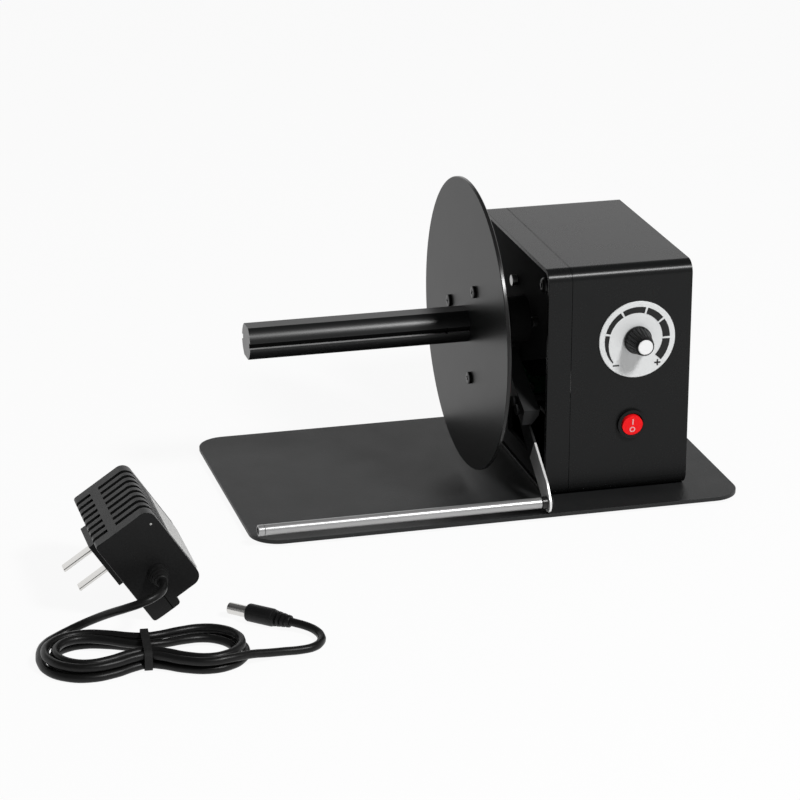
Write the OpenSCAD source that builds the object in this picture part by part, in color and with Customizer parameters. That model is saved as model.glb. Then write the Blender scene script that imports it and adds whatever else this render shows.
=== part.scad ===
// Label rewinder: a geared motor turns a grooved spindle with a flange disc, and a swinging
// tension bar feeds the label strip to the roll. Lengths are in millimetres. +X runs along the
// spindle towards the housing, +Y to the back, +Z up. The origin is the middle of the machine's
// outline on the desk.

/* [Base plate] */
// Length of the base plate along the spindle
base_l = 255; // [250:1:320]
// Depth of the base plate, front to back
base_w = 150; // [145:1:180]
// Thickness of the base plate
base_t = 2; // [2:0.1:4]
// Corner radius of the base plate
base_corner_r = 15; // [5:1:25]
// Diameter of each rubber foot
foot_d = 16; // [10:1:20]
// Thickness of each rubber foot
foot_t = 1.5; // [1:0.1:4]
// Distance of each foot's middle from the plate's edges
foot_inset = 20; // [14:1:30]
// Diameter of the screws that hold the housing to the plate
base_screw_d = 4; // [3:0.5:4]

/* [Housing] */
// Length of the housing along the spindle
housing_l = 75.5; // [74:0.5:90]
// Depth of the housing, front to back
housing_d = 120; // [116:1:125]
// Height of the housing's top above the spindle's axis
housing_over = 38.1; // [36:0.1:58]
// Radius of the housing's long edges
housing_corner_r = 6.5; // [4:0.5:9]
// Thickness of the housing's walls
wall = 2; // [1.5:0.1:2.5]
// Length of the narrow ring at the housing's left end
ring_l = 12.4; // [11:0.1:18]
// Left end of the housing, to the right of the plate's middle
housing_x = 27.8; // [26:0.1:36]
// Front face of the housing, behind the plate's front edge
housing_setback = 21; // [17:1:26]
// Thickness of the side panel
panel_t = 2.5; // [2:0.1:3]
// Depth of the side panel inside the ring's left end
panel_inset = 1.5; // [1:0.1:2]
// Diameter of the long bolts that clamp panel, ring and cover
housing_bolt_d = 4; // [3:0.5:4]
// Distance of each bolt from the housing's outer faces
bolt_inset = 9.5; // [8.5:0.5:11]

/* [Arm window] */
// Lower edge of the window above the plate
window_low = 12; // [8:1:20]
// Upper edge of the window at its front, above the arm's pivot
window_front_over = 11; // [8.5:0.5:16]
// Upper edge of the window at its back, below the arm's pivot
window_back_under = 12.5; // [11.5:0.5:17]
// Length of the window, front to back
window_l = 62.7; // [56:0.1:66]

/* [Spindle and disc] */
// Height of the spindle's axis above the plate
axis_h = 81.9; // [80:0.1:86]
// Distance of the spindle's axis behind the plate's front edge
axis_setback = 65; // [62:0.5:68]
// Diameter of the flange disc
disc_d = 150; // [120:1:156]
// Thickness of the flange disc
disc_t = 2; // [1.5:0.1:3]
// Gap between the disc's back and the housing's left end
disc_standoff = 28.4; // [27:0.1:32]
// Diameter of the spindle bar
spindle_d = 18.8; // [16:0.1:24]
// Length of the spindle bar
spindle_l = 114; // [80:1:116]
// Height of the spindle across its flats
spindle_flats = 16.6; // [14:0.1:18]
// Width of the spindle's side grooves
groove_w = 2.8; // [2:0.1:4]
// Depth of the spindle's side grooves
groove_d = 2.2; // [1:0.1:3]
// Radius of the circle of the disc screws
disc_screw_circle_r = 27.8; // [20:0.1:30]
// Diameter of the hub's flange
hub_flange_d = 68; // [66:1:80]
// Thickness of the hub's flange
hub_flange_t = 4; // [3:0.5:6]
// Diameter of the hub's collar
hub_d = 22; // [16:1:26]

/* [Gear unit] */
// Diameter of the drive shaft
shaft_d = 8; // [6:0.5:8]
// Size of the gear teeth
gear_module = 1; // [1:0.05:1.05]
// Teeth of the gear on the drive shaft
gear_teeth = 45; // [42:1:46]
// Teeth of the motor's pinion
pinion_teeth = 15; // [14:1:16]
// Face width of the drive gear
gear_w = 8; // [5:0.5:9]
// Length of the gear case behind the panel
case_l = 18.2; // [18:0.1:20]
// Front wall of the gear case
case_front_t = 4; // [3:0.5:4.5]
// Thickness of the gear case's lid
lid_t = 6; // [5.5:0.5:8]
// Diameter of the bearing boss
boss_d = 24; // [20:0.5:24]
// Length of the bearing boss in front of the panel
boss_l = 10.8; // [8:0.1:11]
// Outer diameter of the shaft bearings
bearing_d = 16; // [14:0.5:17]
// Width of the shaft bearings
bearing_w = 5; // [4:0.5:5]
// Diameter of the motor
motor_d = 36; // [30:1:38]
// Length of the motor
motor_l = 36; // [30:1:36]

/* [Tension arm] */
// Pivot of the arm behind the spindle's axis
pivot_back = 14; // [10:0.5:16]
// Pivot of the arm below the spindle's axis
pivot_drop = 20.4; // [19:0.1:22]
// Slope of the arm's upper bar at rest
arm_slope = 23.6; // [20:0.1:26]
// Length of the arm's upper bar from its pivot
arm_bar_l = 52.4; // [50:0.1:56]
// Height of the arm's upper bar
arm_bar_h = 10; // [9:0.5:11]
// Width of the arm's upper bar
arm_bar_w = 8.3; // [7:0.1:9]
// Gap between the arm's upper bar and the side panel
arm_gap = 2.5; // [2:0.1:4]
// Width of the arm's flat plate
arm_plate_w = 12.5; // [11:0.5:12.5]
// Thickness of the arm's flat plate
arm_plate_t = 1.3; // [1.1:0.1:2]
// Diameter of the pivot pin
pivot_d = 6; // [5:0.5:7]
// Guide bar's axis behind the plate's front edge
roller_setback = 2; // [0:0.5:6]
// Guide bar's axis above the plate
roller_h = 5.5; // [5.5:0.1:9]
// Outer diameter of the guide bar's sleeve
roller_d = 5.6; // [5:0.1:7]
// Length of the guide bar's sleeve
roller_l = 142; // [120:0.1:143]
// Diameter of the axle inside the sleeve
axle_d = 3.5; // [3:0.1:3.8]

/* [Speed dial] */
// Dial's middle to the right of the housing's left end
dial_x = 46.8; // [44:0.1:50]
// Dial's middle above the plate
dial_h = 81.3; // [76:0.1:86]
// Diameter of the dial plate
dial_d = 40.2; // [36:0.2:44]
// Thickness of the dial plate
dial_t = 0.8; // [0.5:0.1:1.5]
// Diameter of the knob at its base
knob_d = 14.5; // [13.5:0.5:18]
// Diameter of the knob at its front
knob_front_d = 9.2; // [9:0.1:12]
// Height of the knob in front of the dial plate
knob_h = 12.5; // [12:0.5:16]

/* [Power switch] */
// Switch's middle to the right of the housing's left end
switch_x = 45; // [40:0.1:50]
// Switch's middle above the plate
switch_h = 36.5; // [30:0.5:42]
// Diameter of the switch's bezel
bezel_d = 15; // [14.8:0.2:18]
// Diameter of the rocker
rocker_d = 10.8; // [9.8:0.1:10.9]
// Tilt of the rocker to each side
rocker_tilt = 8; // [5:0.5:9]

/* [Power supply] */
// Width of the power adapter
adapter_w = 30.5; // [28:0.5:34]
// Length of the power adapter
adapter_l = 63; // [60:1:80]
// Height of the power adapter
adapter_h = 48; // [44:1:54]
// Wall of the power adapter
adapter_wall = 2; // [1.5:0.1:3]
// Width of each rib groove in the adapter
rib_gap = 3; // [2:0.1:4]
// Distance from one rib groove to the next
rib_pitch = 6.6; // [5.5:0.1:7]
// Diameter of the cord
cord_d = 4; // [3:0.1:4]
// Diameter of the plug's grip
plug_d = 8.5; // [8:0.5:12]

/* [Hidden] */
$fn = 48;
run_gap = 0.05;
screw_d = 3;
screw_head_d = 5.6;
screw_head_t = 1.8;

// Levels and positions of the main pieces
base_top = foot_t + base_t;
front_y = -base_w / 2 + max(0, disc_d / 2 - axis_setback) / 2;
axis_y = front_y + axis_setback;
axis_z = base_top + axis_h;
housing_y0 = front_y + housing_setback;
housing_y1 = housing_y0 + housing_d;
housing_z0 = base_top;
housing_h = axis_h + housing_over;
housing_z1 = base_top + housing_h;
housing_x1 = housing_x + housing_l;
ring_x1 = housing_x + ring_l;
panel_x0 = housing_x + panel_inset;
panel_x1 = panel_x0 + panel_t;
panel_gap = 0.2;
pad = bolt_inset + 5;
pad_l = 12;
bolt_head_d = 8;
bolt_head_t = 2.4;
post_d = 9;
post_h = 7;
base_screw_xs = [ring_x1 + 20, housing_x1 - 12];
base_screw_ys = [housing_y0 + wall + 10, housing_y1 - wall - 10];
base_screw_top = base_top + wall + post_h - 1;
base_head_d = 7.6;
base_head_t = 1.8;

// Arm's pivot and its window in the side panel
pivot_y = axis_y + pivot_back;
pivot_z = axis_z - pivot_drop;
window_y0 = housing_y0 + wall + 6;
window_points = [
    [window_y0, base_top + window_low],
    [window_y0 + window_l, base_top + window_low],
    [window_y0 + window_l, pivot_z - window_back_under],
    [window_y0, pivot_z + window_front_over]
];

// Gear unit along the drive shaft
boss_x0 = panel_x0 - boss_l;
case_x1 = panel_x1 + case_l;
lid_x1 = case_x1 + lid_t;
gear_x = panel_x1 + case_front_t + 2.2;
gear_centres = gear_module * (gear_teeth + pinion_teeth) / 2;
pinion_y = axis_y + gear_centres;
gear_r = gear_module * gear_teeth / 2;
pinion_r = gear_module * pinion_teeth / 2;
case_gap = 1.6;
case_rim = 5;
gear_room_r = gear_r + gear_module + case_gap;
pinion_room_r = pinion_r + gear_module + case_gap;
case_r = gear_room_r + case_rim;
lid_screw_r = gear_room_r + case_rim / 2;
lid_screw_angles = [100, 150, 210, 260];
case_screw_r = 22;
case_screw_angles = [47, 167, 330];
motor_screw_r = 12.5;
motor_screw_angles = [150, 210];
motor_x1 = lid_x1 + motor_l;
can_t = 1.5;
bell_t = 4;
motor_boss_d = 12;
motor_shaft_d = 3.2;
armature_d = 26;

// Disc, hub and spindle
disc_x1 = housing_x - disc_standoff;
disc_x0 = disc_x1 - disc_t;
spindle_x0 = disc_x0 - spindle_l;
hub_x1 = boss_x0 - 1;
shaft_grip = 22;
grub_d = 3;
hub_grub_x = hub_x1 - 6;
spindle_grub_x = disc_x0 - 12;
disc_screw_angles = [7.7, 127.7, 247.7];
disc_head_d = 6.2;
disc_head_t = 1.6;

// Tension arm: u runs down the upper bar from the pivot, w is square to it
arm_x1 = panel_x0 - arm_gap;
arm_x0 = arm_x1 - arm_bar_w;
arm_mid_x = (arm_x0 + arm_x1) / 2;
plate_x0 = arm_mid_x;
plate_x1 = plate_x0 + arm_plate_t;
roller_y = front_y + roller_setback;
roller_z = base_top + roller_h;
arm_turn = 180 + arm_slope;
roller_off = [roller_y - pivot_y, roller_z - pivot_z];
roller_u = roller_off.x * cos(arm_turn) + roller_off.y * sin(arm_turn);
roller_w = roller_off.y * cos(arm_turn) - roller_off.x * sin(arm_turn);
bush_d = pivot_d + 3;
pivot_head_d = 10;
pivot_head_t = 2.5;
tab_u0 = arm_bar_l - 17.4;
tab_l = 13;
tab_end = [tab_u0 + 8, 12.5];
tab_screw_us = [tab_u0 + 3.5, tab_u0 + tab_l - 3.5];
tab_top = arm_bar_h / 2 - 2.3;
tab_screw_w = 1;
peg_d = 3.6;
peg_u = tab_u0 + tab_l / 2;
peg_w = 0.7 + peg_d / 2 - arm_bar_h / 2;
peg_x0 = plate_x1 + 0.5;
peg_x1 = panel_x1 + 12.2;
peg_y = pivot_y + peg_u * cos(arm_turn) - peg_w * sin(arm_turn);
peg_z = pivot_z + peg_u * sin(arm_turn) + peg_w * cos(arm_turn);
roller_x1 = plate_x0 - 3;
plate_eye_d = 10;
roller_x0 = roller_x1 - roller_l;
roller_play = 0.2;
cap_d = 6.8;
cap_l = 3;
collar_d = 6.6;

// Arm stop and sensor behind the panel
stop_t = 2;
stop_pad_t = 3.8;
stop_z = peg_z - peg_d / 2 - 0.1 - stop_pad_t;
stop_y0 = housing_y0 + wall + 0.5;
stop_foot_l = window_y0 - stop_y0 - 0.2;
stop_x1 = peg_x1 + 4;
sensor_l = 14;
sensor_h = 17;

// Speed dial and power switch on the front wall
dial_mid_x = housing_x + dial_x;
dial_z = base_top + dial_h;
dial_front = housing_y0 - dial_t;
scale_t = 0.2;
scale_from = 222;
scale_to = -42;
scale_r = 17.4 / 20.3 * dial_d / 2;
scale_cuts = [scale_from, 167, 120, 74, 37, 0, scale_to];
sign_x = 11;
sign_z = -13;
sign_l = 3.2;
sign_t = 0.7;
bushing_d = 7;
nut_t = 2.2;
nut_d = 11;
pot_d = 16.5;
pot_l = 9;
pot_shaft_d = 6;
cap_face_d = knob_front_d - 1.4;
knob_back = dial_front - 0.3;
switch_mid_x = housing_x + switch_x;
switch_z = base_top + switch_h;
switch_d = 13.8;
switch_l = 18;
bezel_t = 2;
switch_well_d = rocker_d + 1;
rocker_pivot_y = housing_y0 + 0.4;
rocker_front = 3;
rocker_back = 1.6;
rocker_pin_d = 1.6;

// Socket, board and wiring at the back wall
back_in_y = housing_y1 - wall;
jack_x = housing_x1 - 11.5;
jack_z = base_top + 21.5;
jack_d = 10.8;
jack_hole_d = 6.4;
jack_pin_d = 2.1;
jack_out = 3;
jack_in = 12;
board_t = 1.6;
board_off = 8;
board_l = 34;
board_h = 44;
board_x = ring_x1 + 8;
board_z = base_top + pad + 2;
board_y = back_in_y - board_off - board_t;
board_hole = 4;
wire_d = 2;

// Power adapter: it leans on its two prongs
adapter_x = -191.3;
adapter_y = -142.6;
adapter_left_r = 1.6;
adapter_right_r = 5;
adapter_step = 3.5;
adapter_split = 11;
plug_base_t = 5.5;
prong_l = 17;
prong_w = 6.3;
prong_t = 1.5;
prong_spacing = 12.7;
prong_z = 22.9;
prong_y = 46;
prong_low = prong_z - (prong_spacing + prong_t) / 2;
prong_reach = [plug_base_t + prong_l + adapter_left_r, prong_low - adapter_left_r];
adapter_tilt = atan2(prong_reach.y, prong_reach.x) + asin(adapter_left_r / norm(prong_reach));
adapter_drop = adapter_left_r * (sin(adapter_tilt) + cos(adapter_tilt) - 1);
rib_depth = 1.2;
rib_count = 8;
rib_y0 = (adapter_l - (rib_count - 1) * rib_pitch - rib_gap) / 2;
relief_x = 15.2;
relief_z = 19;
relief_l = 10;
relief_d = 10;

// Cord: a free lead, a tied hank and a free tail to the plug
cord_r = cord_d / 2;
cord_exit = [
    adapter_x + relief_x * cos(adapter_tilt) - relief_z * sin(adapter_tilt),
    adapter_y - relief_l,
    relief_x * sin(adapter_tilt) + relief_z * cos(adapter_tilt) - adapter_drop
];
hank_mid = [-203, -184.4];
hank_turn = -6;
hank_run = 26.8;
hank_end_r = 12.6;
hank_waist = 4;
hank_pitch = 4.7;
hank_layer = 4.6;
hank_t0 = 180;
hank_t1 = 1410;
hank_tm = (hank_t0 + hank_t1) / 2;
hank_rings = 24;
tie_t = 0.8;
tie_l = 5;
lead_points = [
    [-189.3, -156.2, 23.6], [-191, -161.2, 23.2], [-195, -165, 22.2], [-200.6, -166, 20.2],
    [-207.2, -162.8, 17.2], [-213.6, -157.8, 13.4], [-219.8, -153.2, 9.4], [-225.8, -150.6, 6],
    [-232.4, -150.6, 3.4], [-238.8, -153.6, 2.1], [-244.2, -158.8, 2], [-247.8, -165.6, 2]
];
tail_points = [
    [-157.8, -201.8, 5.4], [-150, -199.2, 4], [-141.8, -196.9, 2.8], [-134.2, -195.5, 2.1], [-127.6, -193.4, 2],
    [-123.4, -188.8, 2], [-122, -183, 2.2], [-123.2, -178.3, 2.8], [-125.9, -174.8, 3.4]
];
plug_tip = [-156.5, -146];
plug_turn = -43.5;
barrel_l = 10;
barrel_d = 5.5;
grip_l = 14;
tail_l = 9;
plug_l = barrel_l + grip_l + tail_l;
plug_dir = [cos(plug_turn), sin(plug_turn), 0];
plug_end = [plug_tip.x, plug_tip.y, plug_d / 2] + plug_l * plug_dir;

// Shapes drawn in the YZ plane, or in the plane of the front wall, and raised from it
module along_x(x) {
    translate([x, 0, 0]) rotate([90, 0, 90]) children();
}

module from_front(x, y, z) {
    translate([x, y, z]) rotate([90, 0, 0]) children();
}

module from_back(x, y, z) {
    translate([x, y, z]) rotate([-90, 0, 0]) children();
}

module rounded_rect(w, h, r) {
    translate([r, 0]) square([w - 2 * r, h]);
    translate([0, r]) square([w, h - 2 * r]);
    for (x = [r, w - r], y = [r, h - r])
        translate([x, y]) circle(r);
}

module ring_2d(outer_d, inner_d) {
    difference() {
        circle(d = outer_d);
        circle(d = inner_d);
    }
}

// A screw along +Z with its head below the origin
module screw(d, l, head_d, head_t) {
    cylinder(d = d, h = l);
    translate([0, 0, -head_t]) cylinder(d = head_d, h = head_t);
}

module housing_outline(inset) {
    translate([housing_y0 + inset, housing_z0 + inset])
        rounded_rect(housing_d - 2 * inset, housing_h - 2 * inset, max(housing_corner_r - inset, 1));
}

module housing_wall() {
    difference() {
        housing_outline(0);
        housing_outline(wall);
    }
}

module at_bolts() {
    for (y = [housing_y0 + bolt_inset, housing_y1 - bolt_inset],
         z = [housing_z0 + bolt_inset, housing_z1 - bolt_inset])
        translate([y, z]) children();
}

module corner_pads() {
    difference() {
        intersection() {
            housing_outline(wall / 2);
            for (y = [housing_y0, housing_y1 - pad], z = [housing_z0, housing_z1 - pad])
                translate([y, z]) square(pad);
        }
        at_bolts() circle(d = housing_bolt_d + 2 * run_gap);
    }
}

module at_base_screws() {
    for (x = base_screw_xs, y = base_screw_ys)
        translate([x, y, 0]) children();
}

module base_plate() {
    color("#333536") difference() {
        translate([-base_l / 2, front_y, foot_t]) linear_extrude(base_t)
            rounded_rect(base_l, base_w, base_corner_r);
        at_base_screws() translate([0, 0, foot_t]) {
            cylinder(d1 = base_head_d + 0.2, d2 = base_screw_d + 0.2, h = base_head_t);
            cylinder(d = base_screw_d + 0.2, h = base_t + 1);
        }
    }
}

module rubber_feet() {
    color("#161616")
        for (x = [-1, 1] * (base_l / 2 - foot_inset), y = [foot_inset, base_w - foot_inset])
            translate([x, front_y + y, 0]) cylinder(d = foot_d, h = foot_t);
}

module base_screws() {
    color("silver") at_base_screws() {
        translate([0, 0, foot_t]) cylinder(d1 = base_head_d, d2 = base_screw_d, h = base_head_t);
        translate([0, 0, foot_t + 0.2])
            cylinder(d = base_screw_d, h = base_screw_top - foot_t - 0.2);
    }
}

module housing_ring() {
    color("#2a2b2c") {
        along_x(housing_x) linear_extrude(ring_l) housing_wall();
        along_x(panel_x1) linear_extrude(ring_x1 - panel_x1) corner_pads();
    }
}

module housing_cover() {
    color("#2a2b2c") difference() {
        union() {
            along_x(ring_x1) linear_extrude(housing_x1 - ring_x1) housing_wall();
            along_x(housing_x1 - wall) linear_extrude(wall) housing_outline(0);
            along_x(ring_x1) linear_extrude(pad_l) corner_pads();
            at_base_screws() translate([0, 0, base_top]) cylinder(d = post_d, h = wall + post_h);
            at_board_holes() from_front(0, back_in_y, 0) cylinder(d = 5, h = board_off);
        }
        at_base_screws() translate([0, 0, base_top - 1])
            cylinder(d = base_screw_d + 2 * run_gap, h = base_screw_top - base_top + 1.5);
        from_front(dial_mid_x, housing_y0 + wall + 1, dial_z) cylinder(d = bushing_d + 0.2, h = wall + 2);
        from_front(switch_mid_x, housing_y0 + wall + 1, switch_z) cylinder(d = switch_d + 0.2, h = wall + 2);
        from_back(jack_x, back_in_y - 1, jack_z) cylinder(d = jack_d + 0.2, h = wall + 2);
        at_board_holes() from_front(0, back_in_y - 2, 0) cylinder(d = screw_d + 2 * run_gap, h = board_off);
    }
}

module side_panel() {
    color("#202122") along_x(panel_x0) linear_extrude(panel_t) difference() {
        housing_outline(wall + panel_gap);
        at_bolts() circle(d = housing_bolt_d + 0.4);
        translate([axis_y, axis_z]) {
            circle(d = boss_d + 0.2);
            for (a = case_screw_angles)
                rotate(a) translate([case_screw_r, 0]) circle(d = screw_d + 0.3);
        }
        translate([pivot_y, pivot_z]) circle(d = pivot_d - 1 + 2 * run_gap);
        polygon(window_points);
    }
}

module housing_bolts() {
    color("#1a1a1a") along_x(panel_x0)
        at_bolts() screw(housing_bolt_d, ring_x1 + pad_l - 2 - panel_x0, bolt_head_d, bolt_head_t);
}

// Outline of the gear case, grown by an edge around the room for its gears
module case_outline(edge) {
    translate([axis_y, axis_z]) {
        circle(r = gear_room_r + edge);
        translate([gear_centres, 0]) circle(r = pinion_room_r + edge);
        translate([0, -pinion_room_r - edge]) square([gear_centres, 2 * (pinion_room_r + edge)]);
    }
}

module gear_case() {
    color("#1c1d1e") difference() {
        union() {
            along_x(panel_x1) linear_extrude(case_l) case_outline(case_rim);
            along_x(boss_x0) translate([axis_y, axis_z]) cylinder(d = boss_d, h = panel_x1 - boss_x0 + 1);
        }
        along_x(panel_x1 + case_front_t) linear_extrude(case_l) case_outline(0);
        along_x(boss_x0 - 1) translate([axis_y, axis_z]) {
            cylinder(d = bearing_d + 2 * run_gap, h = bearing_w + 1);
            cylinder(d = shaft_d + 2, h = case_x1 - boss_x0);
        }
        along_x(panel_x1 - 1) translate([axis_y, axis_z])
            for (a = case_screw_angles)
                rotate(a) translate([case_screw_r, 0])
                    cylinder(d = screw_d + 2 * run_gap, h = case_front_t + 2);
        along_x(panel_x1 - 1) translate([pivot_y, pivot_z])
            cylinder(d = pivot_d - 1 + 2 * run_gap, h = case_front_t + 2);
        along_x(case_x1 - 8) translate([axis_y, axis_z])
            for (a = lid_screw_angles)
                rotate(a) translate([lid_screw_r, 0]) cylinder(d = screw_d + 2 * run_gap, h = 9);
    }
}

module gear_case_lid() {
    color("#4a4c4e") difference() {
        along_x(case_x1) linear_extrude(lid_t) case_outline(case_rim);
        along_x(case_x1 - 1) translate([axis_y, axis_z]) {
            cylinder(d = bearing_d + 2 * run_gap, h = bearing_w + 1);
            cylinder(d = shaft_d + 1, h = lid_t + 2);
            for (a = lid_screw_angles)
                rotate(a) translate([lid_screw_r, 0]) cylinder(d = screw_d + 0.2, h = lid_t + 2);
        }
        along_x(case_x1 - 1) translate([pinion_y, axis_z]) {
            cylinder(d = motor_boss_d + 2 * run_gap, h = lid_t + 2);
            for (a = motor_screw_angles)
                rotate(a) translate([motor_screw_r, 0]) cylinder(d = screw_d + 0.2, h = lid_t + 2);
        }
    }
}

module gear_unit_screws() {
    color("silver") {
        along_x(panel_x0) translate([axis_y, axis_z])
            for (a = case_screw_angles)
                rotate(a) translate([case_screw_r, 0])
                    screw(screw_d, panel_t + case_front_t - 0.3, screw_head_d, 3);
        along_x(lid_x1) translate([axis_y, axis_z])
            for (a = lid_screw_angles)
                rotate(a) translate([lid_screw_r, 0])
                    mirror([0, 0, 1]) screw(screw_d, lid_t + 7, screw_head_d, screw_head_t);
        along_x(case_x1) translate([pinion_y, axis_z])
            for (a = motor_screw_angles)
                rotate(a) translate([motor_screw_r, 0])
                    screw(screw_d, lid_t + 3, screw_head_d, screw_head_t);
    }
}

module shaft_bearings() {
    color("lightsteelblue")
        for (x = [boss_x0, case_x1])
            along_x(x) translate([axis_y, axis_z]) difference() {
                linear_extrude(bearing_w) ring_2d(bearing_d, shaft_d + 2 * run_gap);
                for (z = [-1, bearing_w - 0.4])
                    translate([0, 0, z]) linear_extrude(1.4) ring_2d(bearing_d - 2, shaft_d + 2.4);
            }
}

module drive_shaft() {
    color("silver") along_x(disc_x0 - shaft_grip) translate([axis_y, axis_z])
        cylinder(d = shaft_d, h = lid_x1 - disc_x0 + shaft_grip);
}

// Involute gear teeth: half the angle of a tooth at radius r of a gear with n teeth
function inv_angle(k) = let (a = sqrt(max(k * k - 1, 0)) * 180 / PI) a - atan(a * PI / 180);
function tooth_half(n, r) =
    let (pitch_r = gear_module * n / 2, base_r = pitch_r * cos(20))
    90 / n - 3 / n + inv_angle(1 / cos(20)) - inv_angle(r / base_r);
function polar(r, a) = [r * cos(a), r * sin(a)];

module gear_2d(n) {
    pitch_r = gear_module * n / 2;
    root_r = pitch_r - 1.25 * gear_module;
    tip_r = pitch_r + 0.85 * gear_module;
    low_r = max(root_r, pitch_r * cos(20));
    flank = [for (i = [0 : 4]) low_r + (tip_r - low_r) * i / 4];
    polygon([
        for (i = [0 : n - 1]) let (a = 360 / n * i) each concat(
            [polar(root_r, a - tooth_half(n, low_r))],
            [for (r = flank) polar(r, a - tooth_half(n, r))],
            [for (k = [4 : -1 : 0]) polar(flank[k], a + tooth_half(n, flank[k]))],
            [polar(root_r, a + tooth_half(n, low_r))]
        )
    ]);
}

module drive_gear() {
    color("goldenrod") along_x(gear_x) translate([axis_y, axis_z]) linear_extrude(gear_w)
        difference() {
            gear_2d(gear_teeth);
            circle(d = shaft_d + 2 * run_gap);
        }
}

module motor_pinion() {
    color("gold") along_x(gear_x - 1) translate([pinion_y, axis_z]) rotate(180 + 180 / pinion_teeth)
        linear_extrude(gear_w + 2) difference() {
            gear_2d(pinion_teeth);
            circle(d = motor_shaft_d + 2 * run_gap);
        }
}

module motor_armature() {
    color("peru") translate([0, pinion_y, axis_z]) {
        along_x(gear_x - 1) cylinder(d = motor_shaft_d, h = motor_x1 + 1 - gear_x);
        along_x(lid_x1 + 6) cylinder(d = armature_d, h = motor_l - bell_t - 12);
    }
}

module motor_can() {
    color("gray") translate([0, pinion_y, axis_z]) difference() {
        union() {
            along_x(lid_x1) cylinder(d = motor_d, h = motor_l - bell_t);
            along_x(lid_x1 - 4) cylinder(d = motor_boss_d, h = 5);
        }
        along_x(lid_x1 + 4) cylinder(d = motor_d - 2 * can_t, h = motor_l);
        along_x(lid_x1 - 5) cylinder(d = motor_shaft_d + 2 * run_gap, h = 10);
        along_x(lid_x1 - 1)
            for (a = motor_screw_angles)
                rotate(a) translate([motor_screw_r, 0])
                    cylinder(d = screw_d + 2 * run_gap, h = 4.5);
    }
}

module motor_end_bell() {
    color("#303234") translate([0, pinion_y, axis_z]) difference() {
        union() {
            along_x(motor_x1 - bell_t) cylinder(d = motor_d, h = bell_t);
            along_x(motor_x1 - bell_t - 3) cylinder(d = motor_d - 2 * can_t - 2 * run_gap, h = 4);
            along_x(motor_x1 - 1) cylinder(d = 10, h = 3);
        }
        along_x(motor_x1 - bell_t - 4) cylinder(d = motor_shaft_d + 2 * run_gap, h = bell_t + 8);
    }
}

module spindle_hub() {
    color("#3a3c3e") difference() {
        translate([0, axis_y, axis_z]) {
            along_x(disc_x1) cylinder(d = hub_flange_d, h = hub_flange_t);
            along_x(disc_x1) cylinder(d = hub_d, h = hub_x1 - disc_x1);
        }
        translate([0, axis_y, axis_z]) {
            along_x(disc_x1 - 1) cylinder(d = shaft_d + 2 * run_gap, h = hub_x1 - disc_x1 + 2);
            along_x(disc_x1 - 1)
                for (a = disc_screw_angles)
                    rotate(a) translate([disc_screw_circle_r, 0])
                        cylinder(d = screw_d + 2 * run_gap, h = hub_flange_t + 2);
        }
        from_front(hub_grub_x, axis_y, axis_z) cylinder(d = grub_d + 2 * run_gap, h = hub_d);
    }
}

module flange_disc() {
    color("#3d3f40") along_x(disc_x0) translate([axis_y, axis_z]) linear_extrude(disc_t) difference() {
        circle(d = disc_d);
        circle(d = shaft_d + 0.2);
        for (a = disc_screw_angles)
            rotate(a) translate([disc_screw_circle_r, 0]) circle(d = screw_d + 0.3);
    }
}

module disc_screws() {
    color("#2a2a2a") along_x(disc_x0) translate([axis_y, axis_z])
        for (a = disc_screw_angles)
            rotate(a) translate([disc_screw_circle_r, 0])
                screw(screw_d, disc_t + hub_flange_t - 0.3, disc_head_d, disc_head_t);
}

module spindle() {
    color("#2c2d2e") difference() {
        along_x(spindle_x0) translate([axis_y, axis_z]) linear_extrude(spindle_l) difference() {
            intersection() {
                circle(d = spindle_d);
                square([spindle_d + 1, spindle_flats], center = true);
            }
            for (side = [-1, 1])
                translate([side * spindle_d / 2, 0]) square([2 * groove_d, groove_w], center = true);
        }
        along_x(disc_x0 - shaft_grip - 1) translate([axis_y, axis_z])
            cylinder(d = shaft_d + 2 * run_gap, h = shaft_grip + 2);
        from_front(spindle_grub_x, axis_y, axis_z) cylinder(d = grub_d + 2 * run_gap, h = spindle_d);
    }
}

module set_screws() {
    color("#555555") {
        from_front(hub_grub_x, axis_y - shaft_d / 2 - run_gap, axis_z)
            cylinder(d = grub_d, h = hub_d / 2 - shaft_d / 2 - 0.5);
        from_front(spindle_grub_x, axis_y - shaft_d / 2 - run_gap, axis_z)
            cylinder(d = grub_d, h = spindle_d / 2 - shaft_d / 2 - groove_d - 0.4);
    }
}

module at_pivot() {
    along_x(0) translate([pivot_y, pivot_z]) children();
}

// Frame of the arm: x runs down the upper bar, y is square to it, z is along the spindle
module in_arm(x) {
    along_x(x) translate([pivot_y, pivot_z]) rotate(arm_turn) children();
}

module arm_pivot_pin() {
    color("silver") at_pivot() {
        translate([0, 0, arm_x0 - 0.2]) screw(pivot_d, panel_x0 - arm_x0 + 0.2, pivot_head_d, pivot_head_t);
        translate([0, 0, panel_x0]) cylinder(d = pivot_d - 1, h = panel_t + case_front_t - 0.3);
    }
}

module arm_bush() {
    color("darkgoldenrod") at_pivot() {
        translate([0, 0, arm_x0]) linear_extrude(arm_bar_w) ring_2d(bush_d, pivot_d + 2 * run_gap);
        translate([0, 0, arm_x1]) linear_extrude(arm_gap - 0.2) ring_2d(bush_d + 2, pivot_d + 2 * run_gap);
    }
}

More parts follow.
